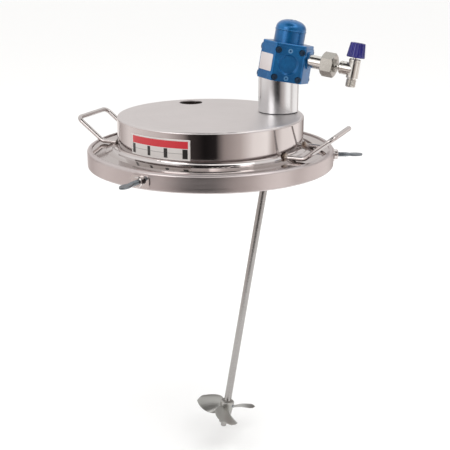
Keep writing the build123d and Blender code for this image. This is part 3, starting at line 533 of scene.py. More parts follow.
@dataclass(frozen=True)
class PlatePrint:
    """Inks on an aluminium plate: a red band over a row of black blocks and bare panels.

    Angles are in degrees and heights in mm. The print's columns are shares of the
    plate's arc, and its rows are shares of its height.
    """

    azimuth: float
    arc: float
    bottom: float
    height: float
    name: str = "screen-printed aluminium plate"
    border: float = 0.03
    row: Point = (0.09, 0.55)
    band: Point = (0.58, 0.93)
    rule: Point = (0.32, 0.345)
    blocks: tuple[Point, ...] = ((0.03, 0.09), (0.335, 0.386), (0.61, 0.668), (0.89, 0.965))
    panel: str = "#CDC8C5"
    rule_ink: str = "#8E8B8A"
    block_ink: str = "#151414"
    red_ink: str = "#CE1A2C"
    faded_red: str = "#B5121F"
    fade_mm: float = 9.0
    sheen: Point = (0.3, 0.42)
    varnish: float = 0.4
    varnish_roughness: float = 0.15
    edge_mm: float = 0.3

    def build(self) -> Material:
        """Make the material.

        Returns:
            The printed plate, patterned by angle and height.
        """
        material, tree = start_material(self.name)
        shader = tree.nodes[SHADER]
        shader.inputs["Coat Weight"].default_value = self.varnish
        shader.inputs["Coat Roughness"].default_value = self.varnish_roughness
        coords = add_node(tree, "ShaderNodeTexCoord")
        fade = add_node(
            tree,
            "ShaderNodeTexNoise",
            {"Vector": coords.outputs["Object"]},
            {"Scale": 1 / (self.fade_mm * MM), "Detail": 3.0},
        )
        colour = self.lay_inks(tree, coords.outputs["Object"], fade.outputs["Fac"])
        tree.links.new(colour, shader.inputs["Base Color"])
        rough = add_node(
            tree,
            "ShaderNodeMapRange",
            {"Value": fade.outputs["Fac"]},
            {"To Min": self.sheen[0], "To Max": self.sheen[1]},
        )
        tree.links.new(rough.outputs["Result"], shader.inputs["Roughness"])
        edge = add_node(tree, "ShaderNodeBevel", None, {"Radius": self.edge_mm * MM}, samples=EDGE_SAMPLES)
        tree.links.new(edge.outputs["Normal"], shader.inputs["Normal"])
        return material

    def lay_inks(self, tree: Tree, place: Socket, fade: Socket) -> Socket:
        """Lay the inks over the bare panel: the rule, the blocks and then the red band.

        Args:
            tree: The material's node tree.
            place: Coordinates of a point.
            fade: How far the red ink has faded there.

        Returns:
            A colour output.
        """
        split = add_node(tree, "ShaderNodeSeparateXYZ", {0: place})
        sides = {0: split.outputs["Y"], 1: split.outputs["X"]}
        angle = add_node(tree, "ShaderNodeMath", sides, operation="ARCTAN2")
        start = radians(self.azimuth - self.arc / 2)
        foot = self.bottom * MM
        shares = []
        for measure, low, span in (
            (angle.outputs["Value"], start, radians(self.arc)),
            (split.outputs["Z"], foot, self.height * MM),
        ):
            limits = {"From Min": low, "From Max": low + span}
            share = add_node(tree, "ShaderNodeMapRange", {"Value": measure}, limits, clamp=False)
            shares.append(share.outputs["Result"])
        across, upward = shares
        inside = (self.border, 1 - self.border)
        rule = self.window(tree, across, upward, inside, self.rule)
        first = {BELOW: to_linear(self.panel), ABOVE: to_linear(self.rule_ink)}
        colour = add_node(tree, "ShaderNodeMix", {SHARE: rule}, first, data_type="RGBA").outputs[MIXED]
        for block in self.blocks:
            layers = {SHARE: self.window(tree, across, upward, block, self.row), BELOW: colour}
            ink = {ABOVE: to_linear(self.block_ink)}
            colour = add_node(tree, "ShaderNodeMix", layers, ink, data_type="RGBA").outputs[MIXED]
        reds = {BELOW: to_linear(self.red_ink), ABOVE: to_linear(self.faded_red)}
        red = add_node(tree, "ShaderNodeMix", {SHARE: fade}, reds, data_type="RGBA").outputs[MIXED]
        band = self.window(tree, across, upward, inside, self.band)
        layers = {SHARE: band, BELOW: colour, ABOVE: red}
        return add_node(tree, "ShaderNodeMix", layers, data_type="RGBA").outputs[MIXED]

    @staticmethod
    def window(tree: Tree, across: Socket, upward: Socket, columns: Point, rows: Point) -> Socket:
        """A mask that is 1 inside a rectangle of the plate.

        Args:
            tree: The material's node tree.
            across: Share of the plate's arc.
            upward: Share of the plate's height.
            columns: First and last share of the arc.
            rows: First and last share of the height.

        Returns:
            The mask's output.
        """
        mask = None
        for value, (low, high) in ((across, columns), (upward, rows)):
            for operation, limit in (("GREATER_THAN", low), ("LESS_THAN", high)):
                test = add_node(tree, "ShaderNodeMath", {0: value}, {1: limit}, operation=operation)
                if mask is not None:
                    both = {0: mask.outputs[0], 1: test.outputs[0]}
                    test = add_node(tree, "ShaderNodeMath", both, operation="MULTIPLY")
                mask = test
        return mask.outputs[0]


# --- This object's finishes --------------------------------------------------

# The adapter stands upright this far from the middle of the lid, in mm.
ADAPTER_X = 90.5

# Stainless sheet, pressed and then belt-ground on a turntable: fine rings about the
# middle, over which a highlight spreads like a fan. The wall, cove and flange were buffed
# afterwards, so they mirror the room. The flange and the inside are painted darker, as
# painted shade. The rings are coarser than the belt's grit.
PRESSED_LID = LidFinish(
    "pressed stainless, ground and buffed",
    "#D2CCCB",
    "#C8C2C1",
    0.38,
    0.05,
    lay=Lay.CIRCULAR,
    pitch_mm=0.7,
    depth_mm=0.003,
)

# Stainless strip, rolled to a ring and belt-ground round it: a satin that blurs what it
# mirrors into long soft streaks. The marks are coarser than the belt's grit.
SATIN_RING = MetalFinish(
    "satin stainless, belt ground",
    "#C6BDBC",
    "#BAB1B0",
    0.33,
    0.05,
    lay=Lay.CIRCULAR,
    pitch_mm=0.7,
    depth_mm=0.004,
)

# Stainless rod, drawn, polished and welded: a bright line along its length, and darker,
# through straw to brown, towards the dome. The polishing marks are coarser than the real ones.
WELDED_ROD = TintedRod(
    "polished stainless rod, welded",
    "#C4BDBB",
    "#B7B0AE",
    0.10,
    0.03,
    pitch_mm=1.2,
    depth_mm=0.002,
)

# Stainless, buffed with a mop: nearly a mirror. Its marks are coarser than the real ones.
BUFFED_SADDLE = MetalFinish(
    "polished stainless, buffed",
    "#CFC9C7",
    "#C2BBB9",
    0.10,
    0.03,
    lay=Lay.CIRCULAR,
    pitch_mm=1.2,
    depth_mm=0.002,
)

# Aluminium foil, brushed one way: short grey streaks and hardly a highlight. The
# streaks are wider than the real ones.
LABEL_FOIL = MetalFinish(
    "brushed label foil",
    "#EDE9EA",
    "#E0DBDC",
    0.45,
    0.05,
    lay=Lay.ALONG,
    pitch_mm=0.5,
    depth_mm=0.003,
)

# Brass, turned and plated with bright nickel: a faintly warm skin that mirrors light
# and dark softly. The waves of the plating are larger than the real ones.
BRIGHT_NICKEL = MetalFinish(
    "bright nickel plating",
    "#D5D2CD",
    "#C8C4BE",
    0.16,
    0.05,
    pitch_mm=2.0,
    depth_mm=0.01,
)

# Brass bar, drawn to a hexagon and plated: greyer and duller than the turned fittings.
# The waves of the plating are larger than the real ones.
DRAWN_NICKEL = MetalFinish(
    "nickel-plated brass, drawn",
    "#B2AEA8",
    "#9E9A93",
    0.30,
    0.08,
    pitch_mm=2.0,
    depth_mm=0.02,
)

# Aluminium, turned in a lathe: rings about the adapter's own axis, so its highlight
# stands upright. The rings are wider than the feed of the tool.
TURNED_ALUMINIUM = MetalFinish(
    "turned aluminium",
    "#E0E1E3",
    "#D4D6D8",
    0.21,
    0.05,
    lay=Lay.CIRCULAR,
    centre=(ADAPTER_X * MM, 0, 0),
    pitch_mm=0.5,
    depth_mm=0.004,
)

# Stainless bar, ground between centres: fine rings round the shaft and a bright line
# along it. The rings are coarser than the wheel's grit.
GROUND_BAR = MetalFinish(
    "ground stainless bar",
    "#ABA8A6",
    "#979492",
    0.24,
    0.06,
    lay=Lay.CIRCULAR,
    pitch_mm=0.8,
    depth_mm=0.004,
)

# Stainless, cast in a shell mould and tumbled: an even, faintly pebbled grey that runs
# no way in particular. The pebbles are larger than the real ones.
TUMBLED_CASTING = MetalFinish(
    "cast stainless, tumbled",
    "#B4B3AF",
    "#9C9B98",
    0.36,
    0.08,
    pitch_mm=1.4,
    depth_mm=0.03,
)

# Steel, plated with zinc in a barrel: a dull blue-grey, a little cloudy, without sharp
# highlights. The clouds' grain is larger than the real crystals.
BARREL_ZINC = MetalFinish(
    "zinc-plated steel, barrel plated",
    "#8D9297",
    "#767B80",
    0.40,
    0.08,
    pitch_mm=1.5,
    depth_mm=0.02,
)

# Alloy steel screws, hardened and oiled: a dark blue-grey with a low shine. The skin's
# grain is larger than the real one.
OILED_SCREW = MetalFinish(
    "plain steel socket screws",
    "#38506C",
    "#26384E",
    0.30,
    0.06,
    pitch_mm=0.8,
    depth_mm=0.01,
)

# The same screws, painted a lighter steel blue as a painted highlight on their heads, with a clearer shine.
HIGHLIGHTED_SCREW = replace(
    OILED_SCREW,
    name="steel socket screws, painted highlight",
    colour="#4A6684",
    drift="#38526E",
    roughness=0.24,
)

# Bronze powder, pressed and sintered: matt, brown-gold and open-pored. The pores are
# larger than the real ones.
SINTERED_BRONZE = MetalFinish("sintered bronze", "#A9814A", "#8C6938", 0.45, 0.08, pitch_mm=0.5)

# Aluminium, bead-blasted and anodised blue: a fine even grain under a clear sheen, and
# paler where the dye is worn off the edges. The grain is coarser than the beads' dents.
MOTOR_BLUE = CoatFinish(
    "blue anodised aluminium, bead blasted",
    "#005288",
    "#0C6AA6",
    0.30,
    metallic=0.55,
    coat=0.3,
    worn="#4C93CB",
)

# Turned aluminium under the same dye, painted lighter than the motor as a painted highlight: a glint on each
# plug.
PLUG_HIGHLIGHT_BLUE = CoatFinish("blue anodised plugs, painted highlight", "#5E9FD6", "#7DB4E0", 0.28, metallic=0.6, coat=0.3)

# Nylon, moulded in a polished tool: deep colour, smooth, with a waxy highlight.
MOULDED_NYLON = CoatFinish("violet-blue moulded nylon", "#15135E", "#1E1C72", 0.28, coat=0.2)

# Nitrile rubber, moulded: nearly black, with a wide soft sheen.
NITRILE_RUBBER = CoatFinish("black nitrile rubber", "#17171A", "#202024", 0.62)

# Wool felt, cut from sheet: off-white and quite without shine. The fibres are drawn as
# a grain, coarser than they are.
WHITE_FELT = CoatFinish("white felt", "#D2CDC0", "#BFB9AB", 0.95, grain_mm=0.3, depth_mm=0.2)


# --- Bench tools -------------------------------------------------------------


def deselect() -> None:
    """Deselect every object."""
    bpy.ops.object.select_all(action="DESELECT")


def pick(piece: Object) -> None:
    """Select one object alone and make it the active one.

    Args:
        piece: The object.
    """
    deselect()
    piece.select_set(True)
    bpy.context.view_layer.objects.active = piece


def apply_place(piece: Object) -> None:
    """Put an object's place, turn and scale into its mesh.

    Args:
        piece: The object.
    """
    pick(piece)
    bpy.ops.object.transform_apply(location=True, rotation=True, scale=True)


def settle(piece: Object, name: str, place: Matrix, smooth: float = 30.0) -> Object:
    """Name a piece, smooth it and put its place in its mesh.

    Args:
        piece: The finished object, modelled about the world's origin.
        name: The piece's name.
        place: Where it goes, in metres.
        smooth: Edges under this angle, in degrees, are shaded smooth.

    Returns:
        The same object.
    """
    piece.name = name
    piece.data.name = name
    piece.matrix_world = place @ piece.matrix_world
    apply_place(piece)
    bpy.ops.object.shade_smooth_by_angle(angle=radians(smooth))
    deselect()
    return piece


def trace(outline: Sequence[Point]) -> Object:
    """Draw an outline of (radius, height) points, in mm, and stay in edit mode.

    Args:
        outline: The points, in order.

    Returns:
        The object that holds the wire, all selected.
    """
    deselect()
    bpy.ops.mesh.primitive_circle_add(vertices=3, radius=MM, location=ORIGIN)
    piece = bpy.context.object
    bpy.ops.object.mode_set(mode="EDIT")
    bpy.ops.mesh.select_all(action="SELECT")
    bpy.ops.mesh.merge(type="CENTER")
    here = Vector(ORIGIN)
    for number, (radius, height) in enumerate(outline):
        there = Vector((radius, 0, height)) * MM
        if number == 0:
            bpy.ops.transform.translate(value=there - here)
        else:
            bpy.ops.mesh.extrude_region_move(TRANSFORM_OT_translate={"value": there - here})
        here = there
    bpy.ops.mesh.select_all(action="SELECT")
    return piece


def lathe(outline: Sequence[Point], segments: int = 96) -> Object:
    """Spin an outline about Z into a closed turned shape.

    Args:
        outline: Points of (radius, height), in mm, from axis to axis or back to the first.
        segments: Faces round the axis.

    Returns:
        The turned object, in object mode.
    """
    piece = trace(outline)
    bpy.ops.mesh.spin(steps=segments, angle=2 * pi, center=ORIGIN, axis=UPRIGHT)
    bpy.ops.mesh.select_all(action="SELECT")
    bpy.ops.mesh.remove_doubles(threshold=WELD)
    bpy.ops.mesh.normals_make_consistent(inside=False)
    bpy.ops.object.mode_set(mode="OBJECT")
    return piece


def arc_points(centre: Point, radius: float, start: float, end: float, steps: int) -> list[Point]:
    """Points along an arc of an outline.

    Args:
        centre: The arc's centre.
        radius: Its radius.
        start: First angle in degrees, from the radius direction towards +Z.
        end: Last angle in degrees.
        steps: Number of chords.

    Returns:
        The arc's points, both ends included.
    """
    turns = [radians(start + (end - start) * i / steps) for i in range(steps + 1)]
    return [(centre[0] + radius * cos(t), centre[1] + radius * sin(t)) for t in turns]


def thread_points(crest: float, depth: float, start: float, end: float, pitch: float) -> list[Point]:
    """The zigzag of a screw thread, drawn as rings, from one height to another.

    Args:
        crest: Crest radius.
        depth: Depth of the groove.
        start: First height.
        end: Last height.
        pitch: Distance between crests.

    Returns:
        The points, with flats on crests and roots.
    """
    # Where the root ends and the crest starts and ends, as shares of one turn.
    root_end, crest_start, crest_end = 0.12, 0.46, 0.62
    count = max(1, int(abs(end - start) / pitch))
    step = (end - start) / count
    points: list[Point] = []
    for i in range(count):
        base = start + i * step
        points += [(crest - depth, base), (crest - depth, base + root_end * step)]
        points += [(crest, base + crest_start * step), (crest, base + crest_end * step)]
    return points + [(crest - depth, end)]


def groove_points(radius: float, depth: float, start: float, end: float, slope: float = 0.3) -> list[Point]:
    """A shallow groove turned round a cylinder, with sloped sides.

    Args:
        radius: The cylinder's radius.
        depth: The groove's depth.
        start: First height.
        end: Last height.
        slope: Height of each side.

    Returns:
        The groove's four points.
    """
    floor = radius - depth
    return [(radius, start), (floor, start + slope), (floor, end - slope), (radius, end)]


def select_points(piece: Object, wanted: Callable[[Vector], bool]) -> None:
    """Enter edit mode with only the wanted points selected.

    Args:
        piece: The piece, in object mode.
        wanted: Says of a point, in mm, whether it is selected.
    """
    pick(piece)
    bpy.ops.object.mode_set(mode="EDIT")
    bpy.ops.mesh.select_mode(type="VERT")
    bpy.ops.mesh.select_all(action="DESELECT")
    bpy.ops.object.mode_set(mode="OBJECT")
    for vertex in piece.data.vertices:
        vertex.select = wanted(vertex.co / MM)
    bpy.ops.object.mode_set(mode="EDIT")


def spoke_of(point: Vector, segments: int) -> int:
    """The spoke of a turned piece that a point lies on, counted from the X axis.

    Args:
        point: The point.
        segments: How many spokes the piece has.

    Returns:
        The spoke's number.
    """
    return round(atan2(point.y, point.x) / (2 * pi) * segments) % segments


def copy_piece(piece: Object, name: str, move: Matrix) -> Object:
    """Copy a finished piece, with its own mesh, to another place.

    Args:
        piece: The finished piece.
        name: The copy's name.
        move: Takes the piece's place to the copy's.

    Returns:
        The copy.
    """
    copy = piece.copy()
    copy.data = piece.data.copy()
    bpy.context.scene.collection.objects.link(copy)
    return settle(copy, name, move)


def join(*pieces: Object) -> Object:
    """Join objects into one.

    Args:
        *pieces: The objects, the first of which is kept.

    Returns:
        The first object, which now holds all the meshes.
    """
    pick(pieces[0])
    for piece in pieces[1:]:
        piece.select_set(True)
    bpy.ops.object.join()
    return pieces[0]


def apply_modifier(piece: Object, kind: str, **settings: object) -> None:
    """Add a modifier and apply it.

    Args:
        piece: The object to change.
        kind: The modifier's type.
        **settings: Its settings.
    """
    pick(piece)
    modifier = piece.modifiers.new(kind.lower(), kind)
    for key, value in settings.items():
        setattr(modifier, key, value)
    bpy.ops.object.modifier_apply(modifier=modifier.name)


def dress(piece: Object, body: str, finish: Material, nodes: Sequence[str] = ()) -> None:
    """Give a piece its finish and body, and hide the CAD nodes that it stands for.

    Args:
        piece: The finished piece.
        body: The CAD body it moves with.
        finish: Its material.
        nodes: The CAD nodes that it stands for.
    """
    piece.data.materials.clear()
    piece.data.materials.append(finish)
    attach(piece, body)
    if nodes:
        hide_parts(*nodes)
    log.info("%s: %d faces", piece.name, len(piece.data.polygons))


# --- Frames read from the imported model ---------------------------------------


@dataclass
class Layout:
    """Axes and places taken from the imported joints, in metres."""

    joints: list[dict]

    def joint(self, name: str) -> dict:
        """One joint of the record, by name."""
        return next(j for j in self.joints if j["name"] == name)

    def axis(self, name: str) -> Vector:
        """A joint's axis as a unit vector."""
        return Vector(self.joint(name)["axis"]).normalized()

    def place(self, name: str) -> Vector:
        """A point on a joint's axis."""
        return Vector(self.joint(name)["pos_m"])

    def frame(self, joint: str, x: Vector, z: Vector) -> Matrix:
        """A frame at a joint, from its X and Z directions."""
        turn = Matrix((x, z.cross(x), z)).transposed().to_4x4()
        return Matrix.Translation(self.place(joint)) @ turn

    def drive(self) -> Matrix:
        """The frame of the drive: Z up its axis, X leaning outwards."""
        up = self.axis("agitator_spin")
        return self.frame("agitator_spin", Vector((0, 1, 0)).cross(up), up)


# --- Sub-assemblies, with sizes in mm and angles in degrees ------------------


@dataclass
class RatingPlate:
    """Curved plate on the dome's wall, with a raised rim above and below."""

    inner: float = 120.55
    thickness: float = 0.75
    rim: float = 0.3
    rim_width: float = 1.1
    bottom: float = 14.0
    height: float = 25.0
    azimuth: float = -133.0
    arc: float = 41.0
    steps: int = 48

    def finish(self) -> PlatePrint:
        """The print that fits this plate."""
        return PlatePrint(self.azimuth, self.arc, self.bottom, self.height)

    def outline(self) -> list[Point]:
        """The plate's section.

        Returns:
            The section's points, closed.
        """
        face = self.inner + self.thickness
        proud = face + self.rim
        top = self.bottom + self.height
        rim_top = self.bottom + self.rim_width
        rim_bottom = top - self.rim_width
        points = [(self.inner, self.bottom), (face, self.bottom)]
        points += [(proud, self.bottom + self.rim), (proud, rim_top), (face, rim_top + self.rim)]
        points += [(face, rim_bottom - self.rim), (proud, rim_bottom), (proud, top - self.rim)]
        return points + [(face, top), (self.inner, top), (self.inner, self.bottom)]

    def build(self, finish: Material) -> None:
        """Spin the section along the dome's wall and close both ends.

        Args:
            finish: The printed plate's material.
        """
        piece = trace(self.outline())
        bpy.ops.mesh.remove_doubles(threshold=WELD)
        bpy.ops.mesh.spin(steps=self.steps, angle=radians(self.arc), center=ORIGIN, axis=UPRIGHT)
        bpy.ops.mesh.select_all(action="SELECT")
        bpy.ops.mesh.fill_holes(sides=0)
        bpy.ops.mesh.select_all(action="SELECT")
        bpy.ops.mesh.normals_make_consistent(inside=False)
        bpy.ops.object.mode_set(mode="OBJECT")
        # The plate is turned by where its spin starts, whichever way it went.
        low = min(atan2(v.co.y, v.co.x) for v in piece.data.vertices)
        turn = Matrix.Rotation(radians(self.azimuth - self.arc / 2) - low, 4, "Z")
        settle(piece, "printed_rating_plate", turn)
        dress(piece, "lid", finish, ("rating_plate",))


@dataclass
class ClampScrews:
    """Threaded clamp screws, each with a pivot tip and a flat spade to turn it by.

    Heights run outwards along the screw, from the outside of the skirt.
    """

    indexes: tuple[int, ...] = (1, 2, 3)
    tip_r: float = 2.0
    tip: Point = (-4.4, -2.0)
    tip_edge: float = 0.4
    rod_r: float = 3.0
    thread: Point = (-1.6, 15.5)
    pitch: float = 1.0
    depth: float = 0.42
    rod_end: float = 17.0
    collar: float = 0.8
    spade_at: float = 29.0
    spade_length: float = 20.0
    spade_width: float = 11.5
    spade_thick: float = 2.6
    spade_rim: float = 1.3
    dish_slope: float = 0.7
    dish: float = 0.3
    spade_edge: float = 0.5
    # How far the neck reaches into the rod and past the spade's quarter, and half the
    # width of its flat end as a share of the spade's width.
    neck_root: float = 0.5
    neck_reach: float = 2.0
    neck_share: float = 0.42

    def frame(self, layout: Layout, index: int) -> Matrix:
        """One screw's frame: Z outwards and X down, with its origin on the skirt."""
        joint = f"clamp_{index}_turn"
        return layout.frame(joint, Vector((0, 0, -1)), -layout.axis(joint))

    def rod(self) -> Object:
        """Turn the rod, with its thread and its pivot tip.

        Returns:
            The rod, about the Z axis.
        """
        start, end = self.tip
        outline = [(0.0, start), (self.tip_r - self.tip_edge, start), (self.tip_r, start + self.tip_edge)]
        outline += [(self.tip_r, end), (self.rod_r - self.depth, end)]
        outline += thread_points(self.rod_r, self.depth, self.thread[0], self.thread[1], self.pitch)
        outline += [(self.rod_r, self.rod_end - self.collar), (self.rod_r, self.rod_end), (0.0, self.rod_end)]
        return lathe(outline, segments=64)

    def spade(self) -> Object:
        """Press the oval grip, with rounded edges and a slight dish on both faces.

        Returns:
            The spade, in its place beyond the rod.
        """
        deselect()
        bpy.ops.mesh.primitive_cylinder_add(
            vertices=72, radius=1.0, depth=self.spade_thick * MM, location=ORIGIN
        )
        spade = bpy.context.object
        spade.scale = (self.spade_length / 2 * MM, self.spade_width / 2 * MM, 1)
        apply_place(spade)
        bpy.ops.object.mode_set(mode="EDIT")
        bpy.ops.mesh.select_mode(type="FACE")
        bpy.ops.mesh.select_all(action="DESELECT")
        bpy.ops.object.mode_set(mode="OBJECT")
        for face in spade.data.polygons:
            face.select = abs(face.normal.z) > FACING
        bpy.ops.object.mode_set(mode="EDIT")
        bpy.ops.mesh.inset(thickness=self.spade_rim * MM, depth=0.0)
        bpy.ops.mesh.inset(thickness=self.dish_slope * MM, depth=-self.dish * MM)
        bpy.ops.object.mode_set(mode="OBJECT")
        edge = self.spade_edge * MM
        apply_modifier(spade, "BEVEL", width=edge, segments=3, limit_method="ANGLE", angle_limit=radians(50))
        place = Matrix.Translation((0, 0, self.spade_at * MM))
        spade.matrix_world = place @ Matrix.Rotation(pi / 2, 4, "Y")
        return spade

    def neck(self) -> Object:
        """Swage the neck, round at the rod and flat at the spade.

        Returns:
            The neck, in its place.
        """
        bottom = self.rod_end - self.neck_root
        length = self.spade_at - self.spade_length / 4 + self.neck_reach - bottom
        deselect()
        bpy.ops.mesh.primitive_cylinder_add(
            vertices=48,
            radius=self.rod_r * MM,
            depth=length * MM,
            location=(0, 0, (bottom + length / 2) * MM),
        )
        neck = bpy.context.object
        apply_place(neck)
        top = max(vertex.co.z for vertex in neck.data.vertices)
        select_points(neck, lambda point: point.z > top / MM - NEAR_MM)
        narrow = self.spade_thick / 2 / self.rod_r
        wide = self.spade_width * self.neck_share / self.rod_r
        bpy.ops.transform.resize(value=(narrow, wide, 1), center_override=(0, 0, top))
        bpy.ops.object.mode_set(mode="OBJECT")
        return neck

    def build(self, layout: Layout, finish: Material) -> None:
        """Model one screw and put a copy in each saddle.

        Args:
            layout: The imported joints.
            finish: The plated steel.
        """
        parts = [self.rod(), self.spade(), self.neck()]
        for part in parts:
            apply_place(part)
        piece = settle(join(*parts), "threaded_clamp_screw", Matrix.Identity(4), smooth=35)
        for index in self.indexes:
            copy = copy_piece(piece, f"threaded_clamp_screw_{index}", self.frame(layout, index))
            dress(copy, f"clamp_screw_{index}", finish, (f"clamp_screw_{index}",))
        bpy.data.objects.remove(piece)


@dataclass
class MufflerCap:
    """Domed silencer lid with a raised lip and a ring of vent holes.

    Heights run up the drive's axis. The dome's section is a superellipse, and its
    squareness is that curve's power.
    """

    bottom: float = 104.5
    radius: float = 19.5
    lip: float = 0.6
    lip_height: float = 1.8
    lip_edge: float = 0.3
    seam_depth: float = 0.6
    seam: float = 0.35
    shoulder: float = 0.5
    height: float = 14.5
    squareness: float = 2.3
    steps: int = 20
    vent_circle: float = 6.0
    vent_r: float = 2.0
    vent_depth: float = 9.0
    vent_count: int = 6

    def outline(self) -> list[Point]:
        """The outline: flat underside, lip with a seam groove, and a full dome.

        Returns:
            The outline's points, from axis to axis.
        """
        groove_r = self.radius - self.seam_depth
        lip_r = self.radius + self.lip
        lip_foot = self.bottom + self.seam
        lip_top = self.bottom + self.lip_height
        points = [(0.0, self.bottom), (groove_r, self.bottom), (groove_r, lip_foot)]
        points += [(lip_r - self.lip_edge, lip_foot), (lip_r, lip_foot + self.lip_edge)]
        points += [(lip_r, lip_top - self.lip_edge), (lip_r - self.lip_edge, lip_top), (self.radius, lip_top)]
        spring = lip_top + self.shoulder
        crown = self.bottom + self.height - spring
        power = 2 / self.squareness
        for i in range(self.steps):
            t = pi / 2 * i / self.steps
            points.append((self.radius * cos(t) ** power, spring + crown * sin(t) ** power))
        return points + [(0.0, spring + crown)]

    def build(self, drive: Matrix, finish: Material) -> None:
        """Turn the cap and drill its vents.

        Args:
            drive: The drive's frame.
            finish: The motor's blue.
        """
        cap = lathe(self.outline(), segments=128)
        crown = Vector((self.vent_circle, 0, self.bottom + self.height)) * MM
        for i in range(self.vent_count):
            place = Matrix.Rotation(2 * pi * i / self.vent_count, 3, "Z") @ crown
            deselect()
            bpy.ops.mesh.primitive_cylinder_add(
                vertices=32, radius=self.vent_r * MM, depth=self.vent_depth * MM, location=place
            )
            drill = bpy.context.object
            apply_modifier(cap, "BOOLEAN", object=drill, operation="DIFFERENCE", solver="EXACT")
            bpy.data.objects.remove(drill)
        settle(cap, "domed_muffler_cap", drive, smooth=28)
        dress(cap, "lid", finish, ("muffler_cap",))


@dataclass
class WeldBeads:
    """Rippled fillet welds round the four feet of the lifting handles."""

    azimuths: Point = (-34.5, 145.5)
    wall_r: float = 120.5
    seat: float = 0.4
    width: float = 74.0
    height: float = 9.3
    rod_r: float = 3.0
    root: float = 0.3
    leg: float = 2.0
    toe: Point = (0.4, -0.1)
    sunk: float = -1.0
    face_gap: float = 0.1
    face: Point = (8.0, 82.0)
    ripples: int = 26
    ripple: float = 0.12
    steps: int = 3

    def bead(self) -> Object:
        """One bead, with its foot in the XY plane and ripples round it.

        Returns:
            The bead, about the Z axis.
        """
        inner_r = self.rod_r - self.root
        toe_r = self.rod_r + self.leg + self.toe[0]
        outline = [(inner_r, self.sunk), (toe_r, self.sunk), (toe_r, self.toe[1])]
        outline += arc_points((self.rod_r + self.face_gap, 0.0), self.leg, *self.face, steps=7)
        outline += [(inner_r, self.leg), (inner_r, self.sunk)]
        segments = self.ripples * self.steps
        bead = lathe(outline, segments)
        select_points(bead, lambda point: point.z > 0 and spoke_of(point, segments) % self.steps == 0)
        bpy.ops.transform.translate(value=(0, 0, -self.ripple * MM))
        bpy.ops.object.mode_set(mode="OBJECT")
        return bead

    def build(self, finish: Material) -> None:
        """Lay a bead at every foot.

        Args:
            finish: The tinted rod's metal.
        """
        out = sqrt(self.wall_r**2 - (self.width / 2) ** 2)
        lean = atan2(self.width / 2, out)
        first = self.bead()
        beads = []
        for azimuth in self.azimuths:
            for side in (-1, 1):
                turn = Matrix.Rotation(radians(azimuth), 4, "Z")
                foot = Vector((out - self.seat, side * self.width / 2, self.height)) * MM
                tilt = Matrix.Rotation(side * lean / 2, 4, "Z") @ Matrix.Rotation(pi / 2, 4, "Y")
                beads.append(copy_piece(first, "weld_bead", turn @ Matrix.Translation(foot) @ tilt))
        bpy.data.objects.remove(first)
        piece = settle(join(*beads), "handle_weld_beads", Matrix.Identity(4), smooth=60)
        dress(piece, "lid", finish)


@dataclass
class MotorLabel:
    """Small bare metal label on the motor's left corner flat."""

    azimuth: float = 202.0
    flat: float = 31.14
    station: float = 63.5
    width: float = 25.0
    height: float = 21.5
    corner: float = 1.2
    thickness: float = 0.4
    edge: float = 0.12

    def build(self, drive: Matrix, finish: Material) -> None:
        """Cut the label, soften its corners and lay it on the flat.

        Args:
            drive: The drive's frame.
            finish: The label's brushed foil.
        """
        deselect()
        bpy.ops.mesh.primitive_plane_add(size=1.0, location=ORIGIN)
        label = bpy.context.object
        label.scale = (self.height * MM, self.width * MM, 1)
        apply_place(label)
        bpy.ops.object.mode_set(mode="EDIT")
        bpy.ops.mesh.select_all(action="SELECT")
        bpy.ops.mesh.bevel(offset=self.corner * MM, segments=5, affect="VERTICES")
        bpy.ops.object.mode_set(mode="OBJECT")
        apply_modifier(label, "SOLIDIFY", thickness=self.thickness * MM, offset=0.0)
        edge = self.edge * MM
        apply_modifier(label, "BEVEL", width=edge, segments=2, limit_method="ANGLE", angle_limit=radians(60))
        turn = Matrix.Rotation(radians(self.azimuth), 4, "Z")
        out = Matrix.Translation(((self.flat + self.thickness / 2) * MM, 0, self.station * MM))
        settle(label, "motor_label_blank", drive @ turn @ out @ Matrix.Rotation(pi / 2, 4, "Y"))
        dress(label, "lid", finish)


